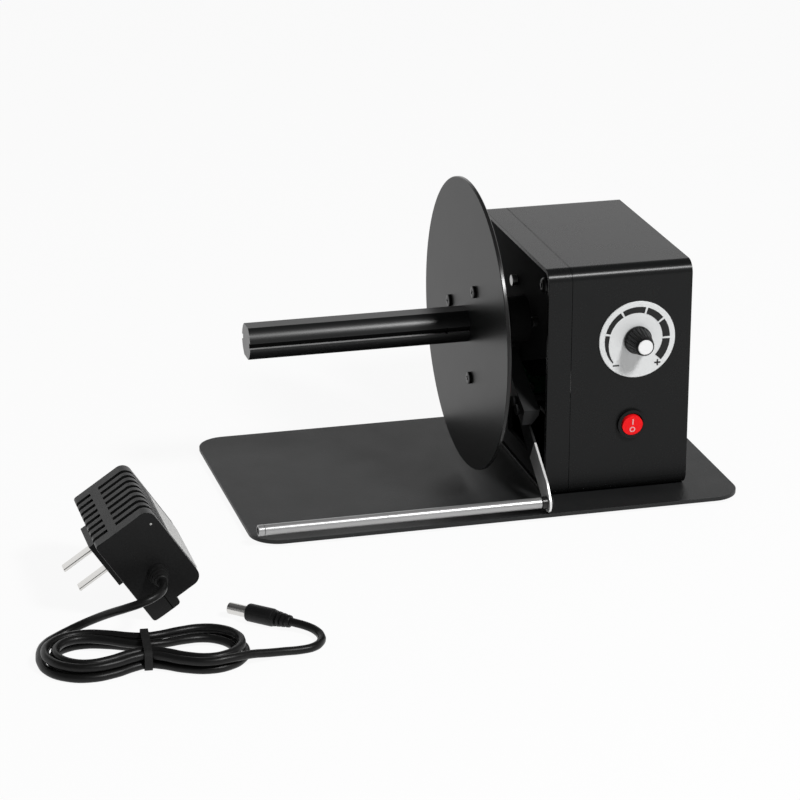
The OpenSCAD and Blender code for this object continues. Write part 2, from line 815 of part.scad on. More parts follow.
module arm_bar() {
    color("#232425") difference() {
        in_arm(arm_x0) linear_extrude(arm_bar_w) difference() {
            union() {
                circle(r = 7);
                translate([0, -arm_bar_h / 2]) square([arm_bar_l, arm_bar_h]);
            }
            circle(d = bush_d + 2 * run_gap);
        }
        in_arm(plate_x0 - 0.1) linear_extrude(arm_plate_t + 0.2)
            translate([tab_u0 - 0.2, -tab_top - 0.2]) square([tab_l + 0.4, arm_bar_h]);
        in_arm(arm_x0 - 1)
            for (u = tab_screw_us)
                translate([u, tab_screw_w]) cylinder(d = screw_d + 2 * run_gap, h = arm_bar_w + 2);
        in_arm(peg_x0 - 0.1) translate([peg_u, peg_w]) cylinder(d = peg_d + 2 * run_gap, h = arm_bar_w);
        in_arm(0) translate([tab_u0 + tab_l - 1.2, 0, 0]) rotate([90, 0, 90]) linear_extrude(10)
            polygon([[-1, arm_x1 + 0.1], [arm_bar_h, arm_x1 + 0.1], [arm_bar_h, arm_x1 - 5.6]]);
    }
}

// Flat strip from a round eye at the guide bar up to the tab, wider on its upper side
module plate_2d() {
    eye = [roller_u, roller_w];
    run = (tab_end - eye) / norm(tab_end - eye);
    up = (arm_plate_w - plate_eye_d) * [-run.y, run.x];
    hull() for (spot = [eye, eye + 7 * run + up, tab_end, tab_end + up])
        translate(spot) circle(d = plate_eye_d);
}

module arm_plate() {
    color("#5a5c5e") in_arm(plate_x0) linear_extrude(arm_plate_t) difference() {
        union() {
            plate_2d();
            translate([tab_u0, -tab_top]) square([tab_l, tab_top + tab_end.y]);
        }
        translate([roller_u, roller_w]) circle(d = screw_d + 2 * run_gap);
        for (u = tab_screw_us)
            translate([u, tab_screw_w]) circle(d = screw_d + 2 * run_gap);
    }
}

module arm_screws() {
    color("#2a2a2a") {
        in_arm(arm_x0)
            for (u = tab_screw_us)
                translate([u, tab_screw_w]) screw(screw_d, arm_bar_w - 0.2, screw_head_d, screw_head_t);
        in_arm(plate_x1) translate([roller_u, roller_w])
            mirror([0, 0, 1]) screw(screw_d, arm_plate_t, screw_head_d, screw_head_t);
    }
}

module arm_peg() {
    color("silver") in_arm(peg_x0) translate([peg_u, peg_w]) cylinder(d = peg_d, h = peg_x1 - peg_x0);
}

module at_roller(x) {
    along_x(x) translate([roller_y, roller_z]) children();
}

module roller_axle() {
    color("silver") at_roller(roller_x0 - roller_play - cap_l + 1)
        cylinder(d = axle_d, h = plate_x0 - roller_x0 + roller_play + cap_l - 1);
}

module roller_sleeve() {
    color("gainsboro") at_roller(roller_x0) linear_extrude(roller_l) ring_2d(roller_d, axle_d + 2 * run_gap);
}

module roller_collar() {
    color("#202020") at_roller(roller_x1 + roller_play) linear_extrude(plate_x0 - roller_x1 - roller_play)
        ring_2d(collar_d, axle_d + 2 * run_gap);
}

module roller_end_cap() {
    color("lightgray") at_roller(roller_x0 - roller_play - cap_l) linear_extrude(cap_l)
        ring_2d(cap_d, axle_d + 2 * run_gap);
}

module arm_stop_bracket() {
    color("#3a3b3c") {
        translate([panel_x1, stop_y0, stop_z - 16]) cube([stop_t, stop_foot_l, 16]);
        translate([panel_x1, stop_y0, stop_z - stop_t])
            cube([stop_x1 - panel_x1, peg_y + 5 - stop_y0, stop_t]);
    }
}

module arm_stop_pad() {
    color("#151515") translate([peg_x1 - 8, peg_y - 4, stop_z]) cube([7, 8, stop_pad_t]);
}

module arm_sensor() {
    color("#1f5c35") {
        translate([stop_x1 - board_t - 0.2, peg_y - sensor_l + 1, stop_z]) cube([board_t, sensor_l, sensor_h]);
        translate([peg_x1 + 0.8, peg_y - 3, stop_z + stop_pad_t]) cube([stop_x1 - board_t - peg_x1 - 1, 3.6, 5]);
    }
}

module dial_plate() {
    color("#d2d3d3") from_front(dial_mid_x, housing_y0, dial_z) linear_extrude(dial_t)
        ring_2d(dial_d, bushing_d + 0.2);
}

// Inner radius of the scale band at an angle: it widens slowly, and runs to a point at its start
function scale_in(a) =
    max(13.1 + (a + 45) * 2 / 225, 15.1 + (a - 180) * 1.9 / 45) / 20.3 * dial_d / 2;

module dial_scale() {
    cut = 2.1;
    steps = 6;
    color("#111111") from_front(dial_mid_x, dial_front, dial_z) linear_extrude(scale_t) {
        for (i = [0 : len(scale_cuts) - 2]) {
            a0 = scale_cuts[i] - (i == 0 ? 0 : cut);
            a1 = scale_cuts[i + 1] + (i == len(scale_cuts) - 2 ? 0 : cut);
            polygon([
                for (k = [0 : steps]) polar(scale_r, a0 + (a1 - a0) * k / steps),
                for (k = [steps : -1 : 0]) let (a = a0 + (a1 - a0) * k / steps) polar(scale_in(a), a)
            ]);
        }
        for (side = [-1, 1])
            translate([side * sign_x, sign_z]) square([sign_l, sign_t], center = true);
        translate([sign_x, sign_z]) square([sign_t, sign_l], center = true);
    }
}

module speed_knob() {
    color("#1b1b1c") from_front(dial_mid_x, knob_back, dial_z) difference() {
        cylinder(d1 = knob_d, d2 = knob_front_d, h = knob_h);
        translate([0, 0, -1]) cylinder(d = nut_d + 0.6, h = nut_t + 2.3);
        translate([0, 0, -1]) cylinder(d = pot_shaft_d + 2 * run_gap, h = knob_h - 1.4);
        translate([0, 0, knob_h - 0.8]) cylinder(d = cap_face_d + 2 * run_gap, h = 1);
        translate([-0.4, knob_front_d / 2 - 0.5, 3.5]) cube([0.8, knob_d, knob_h]);
    }
}

module knob_cap() {
    color("whitesmoke") from_front(dial_mid_x, knob_back - knob_h + 0.8, dial_z)
        cylinder(d = cap_face_d, h = 1);
}

module dial_control() {
    color("#7a6a45") difference() {
        union() {
            from_back(dial_mid_x, housing_y0 + wall, dial_z) cylinder(d = pot_d, h = pot_l);
            from_front(dial_mid_x, housing_y0 + wall + 1, dial_z)
                cylinder(d = bushing_d, h = wall + 1 + dial_t + nut_t + 1);
            for (i = [-1, 0, 1])
                translate([dial_mid_x + 5 * i - 0.8, housing_y0 + wall + 3, dial_z - pot_d / 2 - 6])
                    cube([1.6, 0.8, 8]);
        }
        from_front(dial_mid_x, housing_y0 + wall + pot_l - 1.5, dial_z)
            cylinder(d = pot_shaft_d + 2 * run_gap, h = pot_l + 20);
    }
}

module dial_nut() {
    color("silver") from_front(dial_mid_x, dial_front, dial_z) linear_extrude(nut_t) difference() {
        circle(d = nut_d, $fn = 6);
        circle(d = bushing_d + 2 * run_gap);
    }
}

module dial_shaft() {
    color("lightgray") from_front(dial_mid_x, housing_y0 + wall + pot_l - 2, dial_z)
        cylinder(d = pot_shaft_d, h = wall + pot_l - 2 + dial_t + knob_h - 2.2);
}

module switch_body() {
    color("#161617") difference() {
        union() {
            from_front(switch_mid_x, housing_y0, switch_z) cylinder(d = bezel_d, h = bezel_t);
            from_back(switch_mid_x, housing_y0 - 1, switch_z) cylinder(d = switch_d, h = switch_l + 1);
            for (side = [-1, 1])
                translate([switch_mid_x - 2.4, housing_y0 + switch_l - 1, switch_z + side * 4 - 0.4])
                    cube([4.8, 8, 0.8]);
        }
        from_front(switch_mid_x, rocker_pivot_y + 4, switch_z) cylinder(d = switch_well_d, h = 12);
        translate([switch_mid_x - switch_d / 2 + 0.4, rocker_pivot_y, switch_z]) rotate([0, 90, 0])
            cylinder(d = rocker_pin_d + 2 * run_gap, h = switch_d - 0.8);
    }
}

// Frame of the rocker, with its lower half pressed in
module in_rocker() {
    translate([switch_mid_x, rocker_pivot_y, switch_z]) rotate([rocker_tilt, 0, 0]) children();
}

module switch_rocker() {
    color("#d8262a") in_rocker() {
        rotate([90, 0, 0]) translate([0, 0, -rocker_back]) cylinder(d = rocker_d, h = rocker_front + rocker_back);
        translate([-switch_d / 2 + 0.6, 0, 0]) rotate([0, 90, 0]) cylinder(d = rocker_pin_d, h = switch_d - 1.2);
    }
}

module rocker_marks() {
    color("white") in_rocker() from_front(0, -rocker_front, 0) linear_extrude(0.15) {
        translate([0, 2]) square([0.7, 3], center = true);
        translate([0, -2.2]) ring_2d(3, 1.9);
    }
}

module dc_socket() {
    jack_l = jack_in + wall + jack_out;
    color("#141414") from_back(jack_x, back_in_y - jack_in, jack_z) {
        difference() {
            union() {
                cylinder(d = jack_d, h = jack_l);
                translate([0, 0, jack_in - 2]) cylinder(d = jack_d + 4, h = 2);
            }
            translate([0, 0, 4]) cylinder(d = jack_hole_d, h = jack_l);
            translate([0, 0, -1]) cylinder(d = jack_pin_d + 2 * run_gap, h = jack_l);
        }
        cylinder(d = jack_pin_d, h = jack_l - 1);
    }
}

module dc_socket_nut() {
    color("silver") from_back(jack_x, housing_y1, jack_z) linear_extrude(2.2) difference() {
        circle(d = jack_d + 4.4, $fn = 6);
        circle(d = jack_d + 2 * run_gap);
    }
}

module at_board_holes() {
    for (x = [board_hole, board_l - board_hole], z = [board_hole, board_h - board_hole])
        translate([board_x + x, 0, board_z + z]) children();
}

module control_board() {
    color("#1d6b3a") difference() {
        union() {
            translate([board_x, board_y, board_z]) cube([board_l, board_t, board_h]);
            translate([board_x + 8, board_y - 6, board_z + 9]) cube([10, 7, 14]);
            translate([board_x + 21, board_y - 9, board_z + 12]) cube([7, 10, 10]);
            from_front(board_x + 13, board_y + 1, board_z + 33) cylinder(d = 8, h = 13);
            from_front(board_x + 23, board_y + 1, board_z + 32) cylinder(d = 6.3, h = 10);
        }
        at_board_holes() from_front(0, board_y + board_t + 1, 0) cylinder(d = screw_d + 0.2, h = board_t + 2);
    }
}

module board_screws() {
    color("silver") at_board_holes() from_back(0, board_y, 0)
        screw(screw_d, board_t + board_off - 3, screw_head_d, screw_head_t);
}

// A round tube through a list of points, for cords and wires
function unit(v) = v / norm(v);
function heading(p, i) = unit(p[min(i + 1, len(p) - 1)] - p[max(i - 1, 0)]);
function ring_points(c, t, r, n) =
    let (s = unit(cross(t, [0, 0, 1])), u = cross(s, t))
    [for (k = [0 : n - 1]) c + r * (cos(360 * k / n) * s + sin(360 * k / n) * u)];

module tube(points, d, sides) {
    n = len(points);
    last = (n - 1) * sides;
    rings = [for (i = [0 : n - 1]) each ring_points(points[i], heading(points, i), d / 2, sides)];
    walls = [
        for (i = [0 : n - 2], k = [0 : sides - 1]) let (a = i * sides + k, b = i * sides + (k + 1) % sides)
            each [[a, a + sides, b], [b, a + sides, b + sides]]
    ];
    start_cap = [for (k = [1 : sides - 2]) [0, k, k + 1]];
    end_cap = [for (k = [1 : sides - 2]) [last, last + k + 1, last + k]];
    polyhedron(rings, concat(walls, start_cap, end_cap), convexity = 10);
}

// Points of a wire that leaves one place and reaches another along given directions
function wire(from, out, to, back) = [
    for (i = [0 : 12]) let (t = i / 12, s = 1 - t)
        s * s * s * from + 3 * s * s * t * (from + out) + 3 * s * t * t * (to + back) + t * t * t * to
];

module wiring() {
    color("firebrick") {
        tube(wire([switch_mid_x, housing_y0 + switch_l + 7.1, switch_z + 4], [0, 30, 0],
                  [board_x + 30, board_y - 0.3, board_z + 26], [0, -30, 0]), wire_d, 8);
        tube(wire([dial_mid_x, housing_y0 + wall + pot_l + 0.3, dial_z - 5], [0, 24, 0],
                  [board_x + 18.5, board_y - 0.3, board_z + 36], [0, -50, -8]), wire_d, 8);
        tube(wire([motor_x1 + 0.7, pinion_y, axis_z - 15], [8, 0, -6],
                  [board_x + 30, board_y - 0.3, board_z + 32], [0, -16, -2]), wire_d, 8);
        tube(wire([jack_x, back_in_y - jack_in - 0.3, jack_z], [0, -12, 0],
                  [board_x + 30, board_y - 0.3, board_z + 10], [0, -14, 0]), wire_d, 8);
    }
}

// Frame of the power adapter: x across, y to the back, z up its leaning height
module in_adapter() {
    translate([adapter_x, adapter_y, -adapter_drop]) rotate([0, -adapter_tilt, 0]) children();
}

// Outline of the adapter: crisp on the plug's side, rounder and a step shorter on the other
module adapter_outline(inset) {
    translate([inset, inset]) {
        rounded_rect(adapter_w / 2 - 2 * inset, adapter_h - 2 * inset, max(adapter_left_r - inset / 2, 0.6));
        translate([adapter_w / 4, adapter_step])
            rounded_rect(adapter_w * 3 / 4 - 2 * inset, adapter_h - adapter_step - 2 * inset,
                         max(adapter_right_r - inset / 2, 0.6));
    }
}

module adapter_prism(inset, l) {
    translate([0, l, 0]) rotate([90, 0, 0]) linear_extrude(l) adapter_outline(inset);
}

module rib_groove() {
    difference() {
        union() {
            translate([-2, 0, adapter_h - 4]) cube([adapter_split - 0.3, rib_gap, 8]);
            translate([adapter_split + 2.3, 0, adapter_h * 0.68]) cube([adapter_w, rib_gap, adapter_h]);
        }
        translate([0, -1, 0]) adapter_prism(rib_depth, rib_gap + 2);
    }
}

module adapter_shell() {
    difference() {
        adapter_prism(0, adapter_l);
        translate([0, adapter_wall, 0]) adapter_prism(adapter_wall, adapter_l - 2 * adapter_wall);
        for (i = [0 : rib_count - 1]) translate([0, rib_y0 + i * rib_pitch, 0]) rib_groove();
    }
}

module adapter_base() {
    color("#161616") in_adapter() difference() {
        union() {
            intersection() {
                adapter_shell();
                translate([-5, -5, -5]) cube([adapter_split + 5, adapter_l + 10, adapter_h + 10]);
            }
            translate([-plug_base_t, prong_y - 12, prong_z - 12.5]) cube([plug_base_t + adapter_wall, 24, 25]);
        }
        at_prongs() cube([prong_l + plug_base_t + 20, prong_w + 2 * run_gap, prong_t + 2 * run_gap], center = true);
    }
}

module adapter_cover() {
    color("#1c1c1c") in_adapter() difference() {
        intersection() {
            adapter_shell();
            translate([adapter_split, -5, -5]) cube([adapter_w, adapter_l + 10, adapter_h + 10]);
        }
        from_front(relief_x, adapter_wall + 1, relief_z) cylinder(d = relief_d - 3 + 2 * run_gap, h = adapter_wall + 2);
    }
}

module at_prongs() {
    for (side = [-1, 1])
        translate([0, prong_y, prong_z + side * prong_spacing / 2]) children();
}

module adapter_prongs() {
    color("silver") in_adapter() at_prongs()
        translate([-plug_base_t - prong_l, -prong_w / 2, -prong_t / 2])
            cube([prong_l + plug_base_t + adapter_wall + 2, prong_w, prong_t]);
}

module strain_relief() {
    color("#141414") in_adapter() {
        from_front(relief_x, adapter_wall, relief_z) cylinder(d = relief_d - 3, h = adapter_wall + 1);
        from_front(relief_x, 0, relief_z) difference() {
            cylinder(d1 = relief_d, d2 = cord_d + 1.6, h = relief_l);
            for (z = relief_l * [0.25, 0.5, 0.75])
                translate([0, 0, z]) linear_extrude(1.1) ring_2d(relief_d + 2, cord_d + 1);
        }
    }
}

// The hank's track: two round ends joined by runs that draw in to the waist
function hank_side(x) = hank_end_r - (hank_end_r - hank_waist) * (1 + cos(180 * x / hank_run)) / 2;
function hank_track(t) = let (a = t % 360, x = hank_run * (1 - 2 * ((a + 315) % 180) / 90))
    a < 45 || a >= 315 ? [hank_run, 0] + polar(hank_end_r, 2 * a) :
    a < 135 ? [x, hank_side(x)] :
    a < 225 ? [-hank_run, 0] + polar(hank_end_r, 2 * a - 180) :
    [-x, -hank_side(x)];
function hank_out(t) = let (d = hank_track(t + 0.5) - hank_track(t - 0.5)) unit([d.y, -d.x]);
function ease(x) = let (c = min(max(x, 0), 1)) c * c * (3 - 2 * c);
function hank_lift(x) = abs(x) < hank_run ? (tie_t + 0.1) * (1 + cos(180 * x / hank_run)) / 2 : 0;
function hank_place(p) = [
    hank_mid.x + p.x * cos(hank_turn) - p.y * sin(hank_turn),
    hank_mid.y + p.x * sin(hank_turn) + p.y * cos(hank_turn),
    p.z
];
function hank_point(t) =
    let (p = hank_track(t), q = p + hank_pitch * abs(t - hank_tm) / 360 * hank_out(t))
    hank_place([q.x, q.y, cord_r + hank_lift(p.x) + hank_layer * ease((t - hank_tm + 90) / 180)]);
hank_step = 360 / hank_rings;
hank_core = [for (t = [hank_t0 : hank_step : hank_t1]) hank_point(t)];
hank_first = hank_point(hank_t0) - cord_d * unit(hank_point(hank_t0 + 2) - hank_point(hank_t0));
hank_last = hank_point(hank_t1) + cord_d * unit(hank_point(hank_t1) - hank_point(hank_t1 - 2));
hank_points = concat([hank_first], hank_core, [hank_last]);
hank_fine = [for (t = [hank_t0 : 5 : hank_t1]) hank_point(t)];
hank_gap = min([
    for (i = [0 : len(hank_fine) - 1], j = [i + 18 : 1 : len(hank_fine) - 1]) norm(hank_fine[i] - hank_fine[j])
]) - cord_d;
lead_path = concat([cord_exit], lead_points, [hank_first]);
tail_path = concat([hank_last], tail_points, [plug_end]);
function path_length(p) = len(p) < 2 ? 0 : [for (i = 1, s = norm(p[1] - p[0]); i < len(p);
    i = i + 1, s = s + (i < len(p) ? norm(p[i] - p[i - 1]) : 0)) s][len(p) - 2];
echo(hank_least_gap = hank_gap, cord_length = path_length(lead_path) + path_length(hank_points) + path_length(tail_path));

module cord_lead() {
    color("#151515") tube(lead_path, cord_d, 8);
}

module cord_hank() {
    color("#151515") tube(hank_points, cord_d, 6);
}

module cord_tail() {
    color("#151515") tube(tail_path, cord_d, 8);
}

module cord_tie() {
    room_w = 2 * (hank_waist + hank_pitch * 1.6 + cord_r + 0.3);
    room_h = hank_layer + cord_d + 0.3;
    color("#101010") translate([hank_mid.x, hank_mid.y, 0]) rotate([0, 0, hank_turn])
        along_x(-tie_l / 2) linear_extrude(tie_l) translate([-room_w / 2 - tie_t, 0]) difference() {
            rounded_rect(room_w + 2 * tie_t, room_h + 2 * tie_t, 3);
            translate([tie_t, tie_t]) rounded_rect(room_w, room_h, 2.2);
        }
}

module along_plug(x) {
    translate([plug_tip.x, plug_tip.y, plug_d / 2]) rotate([0, 90, plug_turn]) translate([0, 0, x]) children();
}

module plug_grip() {
    color("#161616") difference() {
        union() {
            along_plug(barrel_l) cylinder(d = plug_d, h = grip_l);
            along_plug(barrel_l + grip_l) cylinder(d1 = plug_d - 0.6, d2 = cord_d + 1.6, h = tail_l);
        }
        for (i = [0 : 2]) along_plug(barrel_l + grip_l + 1.6 + 2.4 * i)
            linear_extrude(1) ring_2d(plug_d + 2, cord_d + 1);
        along_plug(barrel_l - 1) cylinder(d = barrel_d + 2 * run_gap, h = 5);
    }
}

module plug_barrel() {
    color("silver") difference() {
        along_plug(0) cylinder(d = barrel_d, h = barrel_l + 4);
        along_plug(-1) cylinder(d = 2.5, h = barrel_l);
    }
}

base_plate();
rubber_feet();
base_screws();
housing_ring();
housing_cover();
side_panel();
housing_bolts();
gear_case();
gear_case_lid();
gear_unit_screws();
shaft_bearings();
drive_shaft();
drive_gear();
motor_pinion();
motor_armature();
motor_can();
motor_end_bell();
spindle_hub();
flange_disc();
disc_screws();
spindle();
set_screws();
arm_pivot_pin();
arm_bush();
arm_bar();
arm_plate();
arm_screws();
arm_peg();
roller_axle();
roller_sleeve();
roller_collar();
roller_end_cap();
arm_stop_bracket();
arm_stop_pad();
arm_sensor();
dial_plate();
dial_scale();
speed_knob();
knob_cap();
dial_control();
dial_nut();
dial_shaft();
switch_body();
switch_rocker();
rocker_marks();
dc_socket();
dc_socket_nut();
control_board();
board_screws();
wiring();
adapter_base();
adapter_cover();
adapter_prongs();
strain_relief();
cord_lead();
cord_hank();
cord_tail();
cord_tie();
plug_grip();
plug_barrel();
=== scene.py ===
import math

import bmesh
import bpy
from mathutils import Matrix, Vector


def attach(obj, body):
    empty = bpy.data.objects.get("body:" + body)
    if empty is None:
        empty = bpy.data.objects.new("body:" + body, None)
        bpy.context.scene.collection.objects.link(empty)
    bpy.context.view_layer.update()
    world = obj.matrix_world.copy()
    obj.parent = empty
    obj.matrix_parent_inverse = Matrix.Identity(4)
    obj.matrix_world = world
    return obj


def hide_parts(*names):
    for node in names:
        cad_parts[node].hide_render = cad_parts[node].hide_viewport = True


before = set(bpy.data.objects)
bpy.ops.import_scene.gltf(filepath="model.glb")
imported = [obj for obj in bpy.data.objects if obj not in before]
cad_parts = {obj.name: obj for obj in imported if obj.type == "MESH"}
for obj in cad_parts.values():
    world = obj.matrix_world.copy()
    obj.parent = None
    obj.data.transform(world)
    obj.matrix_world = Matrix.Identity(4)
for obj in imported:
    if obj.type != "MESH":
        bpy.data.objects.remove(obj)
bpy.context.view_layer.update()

scene = bpy.context.scene
scene.view_settings.view_transform = "Standard"

# Camera: it stands to the left of the machine, well above the desk, with a long lens.
# Its place and lens are those of the photograph.
camera_lens = bpy.data.cameras.new("camera")
camera_lens.lens = 141.3
camera_lens.sensor_width = 36
camera_lens.clip_end = 30
camera = bpy.data.objects.new("camera", camera_lens)
camera.matrix_world = Matrix((
    (0.96601, 0.08552, -0.24393, -0.4280),
    (-0.25848, 0.32784, -0.90869, -1.4624),
    (0.00226, 0.94085, 0.33881, 0.5904),
    (0, 0, 0, 1),
))
scene.collection.objects.link(camera)
scene.camera = camera

# Desk: a wide pale sheet of paper that keeps the soft shadows of the machine and its cord.
# Part of its white is its own, so that it stays even from edge to edge.
desk_reach = 6
desk_glow = 0.93
desk_mesh = bpy.data.meshes.new("desk")
desk_mesh.from_pydata(
    [(desk_reach * x, desk_reach * y, 0) for x, y in ((-1, -1), (1, -1), (1, 1), (-1, 1))],
    [],
    [(0, 1, 2, 3)],
)
desk = bpy.data.objects.new("desk", desk_mesh)
desk.location.z = -0.0001
scene.collection.objects.link(desk)
desk_paper = bpy.data.materials.new("desk_paper")
desk_paper.use_nodes = True
desk_tree = desk_paper.node_tree
desk_tree.nodes.clear()
desk_out = desk_tree.nodes.new("ShaderNodeOutputMaterial")
desk_blend = desk_tree.nodes.new("ShaderNodeMixShader")
desk_matt = desk_tree.nodes.new("ShaderNodeBsdfDiffuse")
desk_matt.inputs["Color"].default_value = (0.9, 0.9, 0.9, 1)
desk_white = desk_tree.nodes.new("ShaderNodeEmission")
# These rays look at the desk itself: straight, mirrored or through something clear.
desk_path = desk_tree.nodes.new("ShaderNodeLightPath")
desk_seen = desk_tree.nodes.new("ShaderNodeMath")
desk_through = desk_tree.nodes.new("ShaderNodeMath")
desk_through.use_clamp = True
desk_share = desk_tree.nodes.new("ShaderNodeMath")
desk_share.operation = "MULTIPLY"
desk_share.inputs[1].default_value = desk_glow
desk_tree.links.new(desk_path.outputs["Is Camera Ray"], desk_seen.inputs[0])
desk_tree.links.new(desk_path.outputs["Is Glossy Ray"], desk_seen.inputs[1])
desk_tree.links.new(desk_seen.outputs[0], desk_through.inputs[0])
desk_tree.links.new(desk_path.outputs["Is Transmission Ray"], desk_through.inputs[1])
desk_tree.links.new(desk_through.outputs[0], desk_share.inputs[0])
desk_tree.links.new(desk_share.outputs[0], desk_blend.inputs[0])
desk_tree.links.new(desk_matt.outputs[0], desk_blend.inputs[1])
desk_tree.links.new(desk_white.outputs[0], desk_blend.inputs[2])
desk_tree.links.new(desk_blend.outputs[0], desk_out.inputs["Surface"])
desk_mesh.materials.append(desk_paper)

# Studio: a white wall behind, a dimmer room in front and a dim ceiling, with one softbox in
# front and to the right. The box draws the bright line along the housing's edge and the spindle.
ceiling_light = 0.12
ceiling_from = 0.3
ceiling_full = 0.62
front_light = 0.33
front_blend = 0.4
room = bpy.data.worlds.new("studio_room")
room.use_nodes = True
scene.world = room
room_tree = room.node_tree
room_white = room_tree.nodes["Background"]
room_white.inputs["Color"].default_value = (1, 1, 1, 1)
room_place = room_tree.nodes.new("ShaderNodeTexCoord")
room_axes = room_tree.nodes.new("ShaderNodeSeparateXYZ")
room_rise = room_tree.nodes.new("ShaderNodeMapRange")
room_rise.inputs["From Min"].default_value = ceiling_from
room_rise.inputs["From Max"].default_value = ceiling_full
room_rise.inputs["To Min"].default_value = 1
room_rise.inputs["To Max"].default_value = ceiling_light
room_depth = room_tree.nodes.new("ShaderNodeMapRange")
room_depth.inputs["From Min"].default_value = -front_blend
room_depth.inputs["From Max"].default_value = front_blend
room_depth.inputs["To Min"].default_value = front_light
room_depth.inputs["To Max"].default_value = 1
room_level = room_tree.nodes.new("ShaderNodeMath")
room_level.operation = "MULTIPLY"
room_tree.links.new(room_place.outputs["Generated"], room_axes.inputs[0])
room_tree.links.new(room_axes.outputs["Z"], room_rise.inputs["Value"])
room_tree.links.new(room_axes.outputs["Y"], room_depth.inputs["Value"])
room_tree.links.new(room_rise.outputs[0], room_level.inputs[0])
room_tree.links.new(room_depth.outputs[0], room_level.inputs[1])
room_tree.links.new(room_level.outputs[0], room_white.inputs["Strength"])
box_lamp = bpy.data.lights.new("front_softbox", "AREA")
box_lamp.shape = "RECTANGLE"
box_lamp.size = 0.28
box_lamp.size_y = 0.22
box_lamp.energy = 21
front_box = bpy.data.objects.new("front_softbox", box_lamp)
front_box.location = (0.53, -1.07, 1.22)
box_aim = Vector((0.05, -0.03, 0.08)) - front_box.location
front_box.rotation_euler = box_aim.to_track_quat("-Z", "Y").to_euler()
scene.collection.objects.link(front_box)

# Cord: a round black cable, 4 mm thick and all of it in view. It leaves the adapter, lies in
# a hank of loops tied at its waist, and ends in the plug. It is one unbroken length.
MM = 0.001
cord_thickness = 4
cord_exit = (-189.23, -152.6, 23.62)
hank_mid = (-203, -184.4)
hank_turn = math.radians(-6)
hank_run = 26.8
hank_end_r = 12.6
hank_waist = 4
hank_pitch = 4.7
hank_layer = 4.6
hank_lift = 0.9
hank_from = 180
hank_to = 1410
hank_step = 15
lead_points = [
    cord_exit, (-189.3, -156, 23.6), (-191, -162, 23.3), (-195.4, -166.4, 22.5),
    (-201.6, -168, 20.9), (-208, -165.4, 18), (-214.2, -159.8, 14), (-220, -154.4, 9.8),
    (-226, -151.2, 6.2), (-232.4, -150.8, 3.5), (-238.8, -153.6, 2.1), (-244.2, -158.8, 2),
    (-247.8, -165.6, 2), (-249.7, -174, 2),
]
tail_points = [
    (-157.8, -201.8, 5.4), (-150, -199.4, 4), (-141.8, -197.1, 2.8), (-134.3, -195.8, 2.1),
    (-128, -194.1, 2), (-123.5, -189.5, 2), (-121.8, -183.3, 2.2), (-123, -178, 2.8), (-125.8, -174.2, 3.4),
]
plug_tip = (-156.5, -146)
plug_turn = math.radians(-43.5)
plug_thickness = 8.5
plug_length = 33


def hank_side(x):
    return hank_end_r - (hank_end_r - hank_waist) * (1 + math.cos(math.pi * x / hank_run)) / 2


def hank_track(t):
    a = t % 360
    x = hank_run * (1 - 2 * ((a + 315) % 180) / 90)
    if a < 45 or a >= 315:
        turn = math.radians(2 * a)
        return Vector((hank_run + hank_end_r * math.cos(turn), hank_end_r * math.sin(turn)))
    if a < 135:
        return Vector((x, hank_side(x)))
    if a < 225:
        turn = math.radians(2 * a - 180)
        return Vector((-hank_run + hank_end_r * math.cos(turn), hank_end_r * math.sin(turn)))
    return Vector((-x, -hank_side(x)))


def hank_point(t):
    middle = (hank_from + hank_to) / 2
    along = hank_track(t + 0.5) - hank_track(t - 0.5)
    outward = Vector((along.y, -along.x)).normalized()
    track = hank_track(t)
    flat = track + hank_pitch * abs(t - middle) / 360 * outward
    climb = min(max((t - middle + 90) / 180, 0), 1)
    rise = hank_layer * climb * climb * (3 - 2 * climb)
    lift = 0
    if abs(track.x) < hank_run:
        lift = hank_lift * (1 + math.cos(math.pi * track.x / hank_run)) / 2
    return Vector((
        hank_mid[0] + flat.x * math.cos(hank_turn) - flat.y * math.sin(hank_turn),
        hank_mid[1] + flat.x * math.sin(hank_turn) + flat.y * math.cos(hank_turn),
        cord_thickness / 2 + lift + rise,
    ))


hank_points = [hank_point(t) for t in range(hank_from, hank_to + 1, hank_step)]
plug_axis = Vector((math.cos(plug_turn), math.sin(plug_turn), 0))
plug_end = Vector((*plug_tip, plug_thickness / 2)) + plug_length * plug_axis
cord_points = lead_points + hank_points + tail_points + [plug_end]


# A smooth round tube through points given in millimetres.
def tube_curve(name, points, thickness, sides=4):
    curve = bpy.data.curves.new(name, "CURVE")
    curve.dimensions = "3D"
    curve.bevel_depth = 1
    curve.bevel_resolution = sides
    curve.resolution_u = 5
    curve.use_fill_caps = True
    spline = curve.splines.new("BEZIER")
    spline.bezier_points.add(len(points) - 1)
    for knot, point in zip(spline.bezier_points, points):
        knot.co = Vector(point) * MM
        knot.radius = thickness / 2 * MM
        knot.handle_left_type = "AUTO"
        knot.handle_right_type = "AUTO"
    return curve


def place_piece(name, data, body, slot, *nodes):
    piece = bpy.data.objects.new(name, data)
    scene.collection.objects.link(piece)
    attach(piece, body)
    if nodes:
        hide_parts(*nodes)
    return piece


